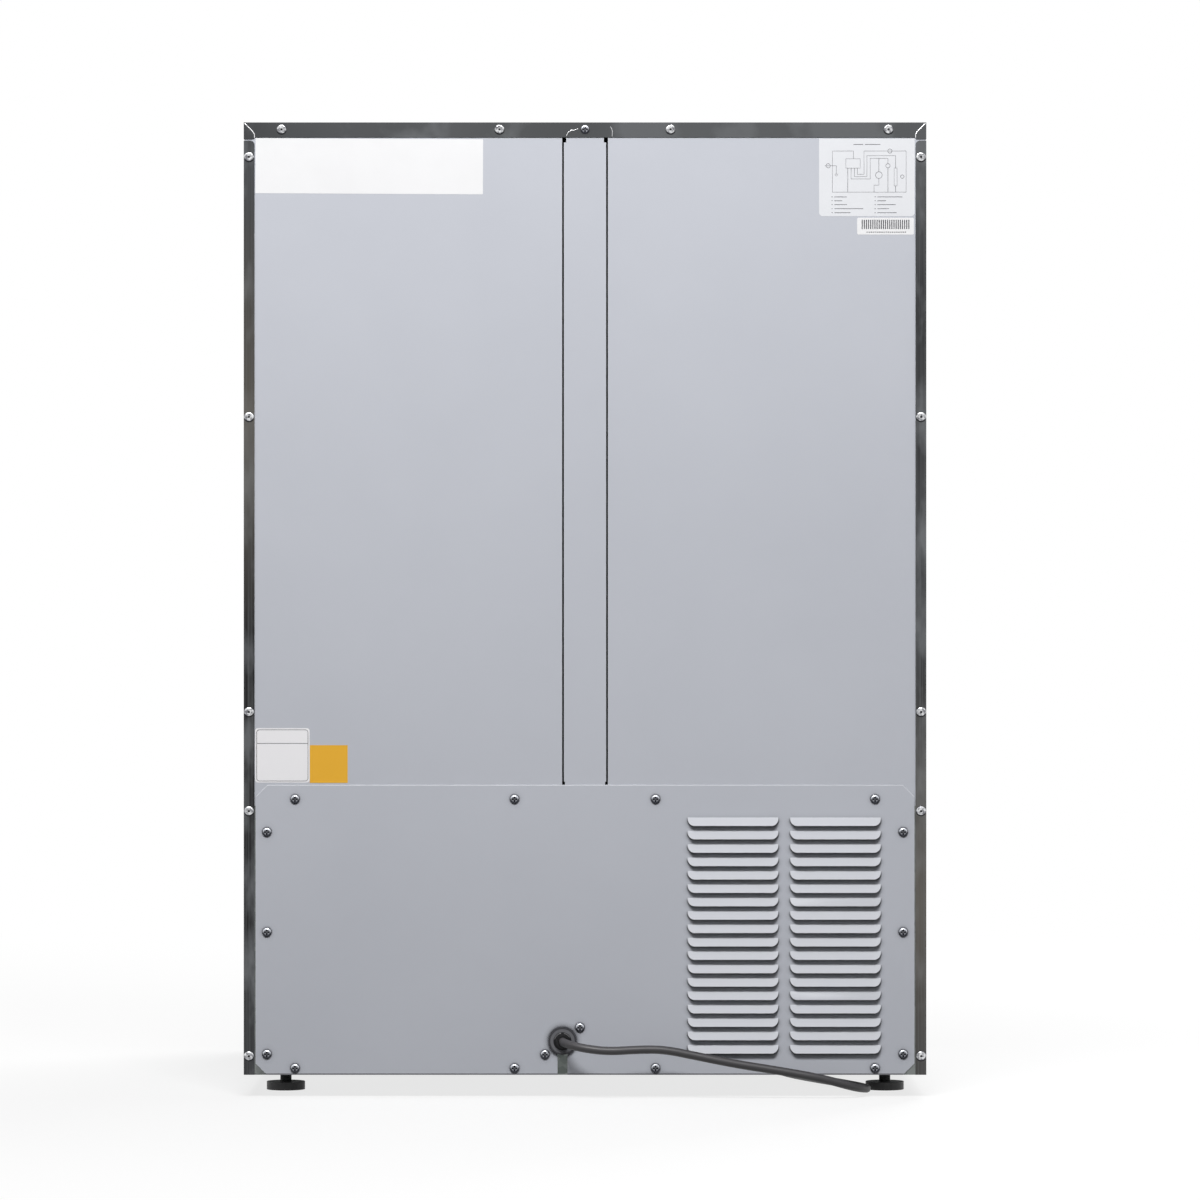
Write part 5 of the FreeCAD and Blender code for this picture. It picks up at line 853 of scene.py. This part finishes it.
# Notice sticker: a ruled frame with one divider, and nothing in it; the orange one beside it is bare
NOTICE_LINE = 0.5
NOTICE_MARGIN = 0.03
NOTICE_CORNER = 0.05
NOTICE_DIVIDER = 0.72
notice = Sticker("notice_sticker", left=288.6, right=240.9, low=275.6, high=323.2, corners=[2.4] * 4,
                 material=bright_vinyl)
notice_side = 1 - 2 * NOTICE_MARGIN
notice_border = rounded_rectangle((0.5, 0.5), notice_side, notice_side, [NOTICE_CORNER] * 4)
notice_divider = [(NOTICE_MARGIN, NOTICE_DIVIDER), (1 - NOTICE_MARGIN, NOTICE_DIVIDER)]
notice.lines("_border", [notice_border], NOTICE_LINE, dark_ink, closed=True)
notice.lines("_divider", [notice_divider], NOTICE_LINE, dark_ink)
Sticker("orange_sticker", left=240.7, right=207.6, low=275.3, high=308.3, corners=[0.3] * 4,
        material=orange_vinyl)

# Bright seams where the folds of the lid meet at its rear corners: bright metal lines, partly the raw edges
# and partly a painted highlight on the folds
SEAM_RADIUS = 0.55 * MM
SEAM_CUT = 1.6 * MM
SEAM_DROP = 1.0 * MM
SEAM_FOOT = 1.2 * MM
LID_TAB = 9.4 * MM
LID_SKIRT = 14.6 * MM
LID_SHEET = 0.8 * MM
# Bright metal that stands partly for raw edges and partly for painted highlights
seam_highlight_metal = drawn_metal("seam_highlight_metal", (0.74, 0.74, 0.75), (0.88, 0.88, 0.89), 0.25)
seams = []
for side in (1, -1):
    seams.append([(side * (half - LID_SHEET), rear, top - LID_SHEET),
                  (side * (half - LID_TAB + SEAM_CUT), rear, top - LID_TAB + SEAM_CUT),
                  (side * (half - LID_TAB), rear, top - LID_TAB - SEAM_DROP),
                  (side * (half - LID_TAB), rear, top - LID_SKIRT + SEAM_FOOT)])
add_curve("lid_corner_seams", seams, SEAM_RADIUS, seam_highlight_metal, "cabinet")

# Painted highlights on the crease marks of the lid's rear flange beside its middle screw, as bright lines,
# by X and Z in millimetres
CREASE_HIGHLIGHTS = (
    ((16.4, 841.0), (14.9, 844.2), (12.4, 846.0), (8.9, 846.7), (5.9, 847.3)),
    ((-22.3, 849.3), (-23.4, 847.2), (-24.0, 845.2), (-23.7, 840.7)),
)
CREASE_RADIUS = 0.28 * MM
crease_highlights = [[(across * MM, rear, up * MM) for across, up in crease] for crease in CREASE_HIGHLIGHTS]
add_curve("lid_crease_highlights", crease_highlights, CREASE_RADIUS, seam_highlight_metal, "cabinet")

# Clip ribs on the boss of the cord grommet, by the angles in degrees where they begin and end
RIB_REACH = 7.0 * MM
RIB_DEPTH = rear + 4.7 * MM
RIB_RADIUS = 0.55 * MM
RIB_SPANS = ((15.0, 80.0), (100.0, 150.0))
ribs = []
for first, last in RIB_SPANS:
    turns = [math.radians(first + (last - first) * step / ARC_STEPS) for step in range(ARC_STEPS + 1)]
    ribs.append([(grommet_middle.x + RIB_REACH * math.cos(turn), RIB_DEPTH,
                  grommet_middle.z + RIB_REACH * math.sin(turn)) for turn in turns])
rib_plastic = moulded("rib_plastic", (0.10, 0.10, 0.105), (0.16, 0.16, 0.165), 0.30)
add_curve("grommet_ribs", ribs, RIB_RADIUS, rib_plastic, "cabinet")

# Door gasket: one ring with a magnet bulb in front of a folded bellows; inset and height in millimetres
GASKET_PROFILE = (
    (0.0, 0.0), (0.0, 1.8), (1.0, 2.7), (0.3, 3.9), (1.1, 5.2), (0.9, 7.6), (1.7, 9.1), (3.0, 9.7),
    (8.8, 9.7), (10.2, 9.1), (11.0, 7.6), (10.8, 5.2), (11.7, 3.9), (11.0, 2.7), (12.0, 1.8), (12.0, 0.0),
)


def fill_gasket(work):
    low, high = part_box("door_gasket")
    loops = []
    for across, up in ((low.x, low.z), (high.x, low.z), (high.x, high.z), (low.x, high.z)):
        inward_x = MM if across < 0 else -MM
        inward_z = MM if up == low.z else -MM
        loops.append([work.verts.new((across + inset * inward_x, low.y + height * MM, up + inset * inward_z))
                      for inset, height in GASKET_PROFILE])
    for one, other in zip(loops, loops[1:] + loops[:1]):
        add_band(work, one, other)


gasket = add_mesh("gasket_bellows", fill_gasket, slot_finish["gasket_rubber"], "door")
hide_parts("door_gasket")

# Digits of the display, by the segments that are lit
DIGIT_WIDTH = 5.0 * MM
DIGIT_HEIGHT = 9.0 * MM
DIGIT_STROKE = 0.5 * MM
DIGIT_PITCH = 8.0 * MM
SEGMENTS = {
    "top": ((0, 1), (1, 1)), "middle": ((0, 0.5), (1, 0.5)), "base": ((0, 0), (1, 0)),
    "upper_left": ((0, 0.5), (0, 1)), "upper_right": ((1, 0.5), (1, 1)),
    "lower_left": ((0, 0), (0, 0.5)), "lower_right": ((1, 0), (1, 0.5)),
}
THREE = ("top", "middle", "base", "upper_right", "lower_right")
EIGHT = tuple(SEGMENTS)
display_low, display_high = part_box("control_display")
display_middle = (display_low + display_high) / 2
digit_lines = []
for index, digit in enumerate((THREE, EIGHT)):
    start_x = display_middle.x + (index - 0.5) * DIGIT_PITCH - DIGIT_WIDTH / 2
    start_z = display_middle.z - DIGIT_HEIGHT / 2
    for segment in digit:
        digit_lines.append([(start_x + across * DIGIT_WIDTH, display_low.y, start_z + up * DIGIT_HEIGHT)
                            for across, up in SEGMENTS[segment]])
add_curve("display_digits", digit_lines, DIGIT_STROKE, lit_digits(), "cabinet")

# Signs on the buttons, by shares of their reach
SIGN_REACH = 2.6 * MM
SIGN_STROKE = 0.28 * MM
POWER_GAP = math.radians(40.0)
POWER_BAR = [(0, 0.2), (0, 1.1)]
ARROW = [(-0.9, -0.4), (0, 0.5), (0.9, -0.4)]
sign_print = moulded("sign_print", (0.80, 0.80, 0.81), (0.88, 0.88, 0.88), 0.5)


def button_sign(name, node, body, paths):
    """A printed sign on the front of a button."""
    low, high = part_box(node)
    middle = (low + high) / 2
    places = [[(middle.x + across * SIGN_REACH, low.y, middle.z + up * SIGN_REACH) for across, up in path]
              for path in paths]
    add_curve(name, places, SIGN_STROKE, sign_print, body)


power_ring = []
for step in range(RING_STEPS + 1):
    turn = math.pi / 2 + POWER_GAP + (FULL_TURN - 2 * POWER_GAP) * step / RING_STEPS
    power_ring.append((math.cos(turn), math.sin(turn)))
button_sign("power_sign", "button_power", "power_button", [power_ring, POWER_BAR])
button_sign("warmer_sign", "button_warmer", "warmer_button", [ARROW])
button_sign("cooler_sign", "button_cooler", "cooler_button", [[(across, -up) for across, up in ARROW]])

# Small roundings of the CAD nodes, for the light along their edges
SHEET_EDGE = 0.36 * MM
MOULDED_EDGE = 0.9 * MM
EDGE_STEPS = 2
SHARP_ANGLE = math.radians(35.0)
FLAT_ANGLE = math.radians(0.5)
SAME_POINT = 0.001 * MM


def soften(name, width):
    """Rounds the sharp edges of a node, once its points are joined and its flat faces are whole."""
    node = frame["nodes"][name]
    weld = node.modifiers.new("weld", "WELD")
    weld.merge_threshold = SAME_POINT
    flat = node.modifiers.new("flat", "DECIMATE")
    flat.decimate_type = "DISSOLVE"
    flat.angle_limit = FLAT_ANGLE
    bevel = node.modifiers.new("bevel", "BEVEL")
    bevel.width = width
    bevel.segments = EDGE_STEPS
    bevel.limit_method = "ANGLE"
    bevel.angle_limit = SHARP_ANGLE
    bevel.harden_normals = True


for name in ("rear_cover", "top_panel", "side_panel_left", "side_panel_right", "rear_panel_left",
             "rear_panel_right", "rear_centre_strip", "front_frame", "kick_grille", "hinge_brackets"):
    soften(name, SHEET_EDGE)
for name in ("door_skin", "door_liner", "evaporator_cover", "control_housing"):
    soften(name, MOULDED_EDGE)

# Rolled upper edge of the rear cover, round its cut corners, in a paler paint that is a painted highlight
HEM_RADIUS = 0.6 * MM
HEM_PROUD = 0.3 * MM
COVER_CUT = 10.0 * MM
cover_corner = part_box("rear_cover")[1]
hem_depth = panel_face + HEM_PROUD
hem_top = cover_corner.z - HEM_RADIUS / 2
hem_side = cover_corner.x - HEM_RADIUS / 2
hem_path = [
    (hem_side, hem_depth, hem_top - COVER_CUT),
    (hem_side - COVER_CUT, hem_depth, hem_top),
    (COVER_CUT - hem_side, hem_depth, hem_top),
    (-hem_side, hem_depth, hem_top - COVER_CUT),
]
# Paler than the panels' paint: a painted highlight along the edge
hem_highlight_paint = moulded("hem_highlight_paint", (0.74, 0.755, 0.80), (0.80, 0.815, 0.86), 0.36)
add_curve("cover_hem", [hem_path], HEM_RADIUS, hem_highlight_paint, "cabinet")

# Floor, background and light
FLOOR_HALF = 9.0
FLOOR_COLOUR = (0.24, 0.24, 0.24, 1.0)
FLOOR_LIFT = 0.77
FLOOR_NEAR = 0.7
FLOOR_FAR = 2.2
WHITE = (1.0, 1.0, 1.0, 1.0)
AMBIENT = 0.04


def floor_material():
    """Pale floor that keeps the shadow near the object and runs out into the white background."""
    material = bpy.data.materials.new("floor")
    material.use_nodes = True
    nodes = Nodes(material.node_tree)
    nodes.tree.nodes.clear()
    seen = nodes.seen_directly()
    place = nodes.add("ShaderNodeTexCoord", {}).outputs["Object"]
    distance = nodes.measure("LENGTH", place)
    reach = nodes.span(distance, FLOOR_NEAR, FLOOR_FAR, interpolation="SMOOTHSTEP")
    matt = nodes.add("ShaderNodeBsdfDiffuse", {"Color": FLOOR_COLOUR})
    glow = nodes.add("ShaderNodeEmission", {"Strength": nodes.math("MULTIPLY", seen, FLOOR_LIFT)})
    near = nodes.add("ShaderNodeAddShader", {0: matt.outputs[0], 1: glow.outputs[0]})
    white = nodes.add("ShaderNodeEmission", {})
    surface = nodes.blend(nodes.math("MULTIPLY", reach, seen), near.outputs[0], white.outputs[0])
    nodes.add("ShaderNodeOutputMaterial", {"Surface": surface})
    return material


floor_corners = [(across * FLOOR_HALF, along * FLOOR_HALF, 0.0)
                 for across, along in ((-1, -1), (1, -1), (1, 1), (-1, 1))]
floor_mesh = bpy.data.meshes.new("floor")
floor_mesh.from_pydata(floor_corners, [], [(0, 1, 2, 3)])
floor_mesh.materials.append(floor_material())
floor = bpy.data.objects.new("floor", floor_mesh)
scene.collection.objects.link(floor)

world = bpy.data.worlds.new("studio")
scene.world = world
world.use_nodes = True
sky = Nodes(world.node_tree)
ambient = sky.tree.nodes["Background"]
sky.feed(ambient.inputs["Color"], WHITE)
sky.feed(ambient.inputs["Strength"], AMBIENT)
backdrop = sky.add("ShaderNodeBackground", {"Color": WHITE})
room = sky.blend(sky.seen_directly(), ambient.outputs[0], backdrop.outputs[0])
sky.feed(sky.tree.nodes["World Output"].inputs["Surface"], room)


def lamp(name, place, target, width, height, power, glossy):
    """A soft light that faces a point, and that gloss may show."""
    data = bpy.data.lights.new(name, "AREA")
    data.shape = "RECTANGLE"
    data.size = width
    data.size_y = height
    data.energy = power
    light = bpy.data.objects.new(name, data)
    light.location = place
    light.rotation_euler = (Vector(target) - Vector(place)).to_track_quat("-Z", "Y").to_euler()
    light.visible_camera = False
    light.visible_glossy = glossy
    scene.collection.objects.link(light)
    return light


key_light = lamp("key_light", place=(0.15, 2.22, 2.10), target=(0.0, 0.30, 0.95), width=1.4, height=0.6,
                 power=66.0, glossy=True)
lamp("front_light", place=(-0.9, -2.2, 2.1), target=(0.0, -0.25, 0.5), width=1.6, height=1.6,
     power=75.0, glossy=False)

# The key light is kept off the bare steel, which shows the white room alone.
bare_steel = bpy.data.collections.new("bare_steel")
for entry in frame["record"]["subparts"]:
    if entry["material_slot"] == "stainless_steel":
        bare_steel.objects.link(frame["nodes"][entry["node"]])
for member in bare_steel.collection_objects:
    member.light_linking.link_state = "EXCLUDE"
key_light.light_linking.receiver_collection = bare_steel
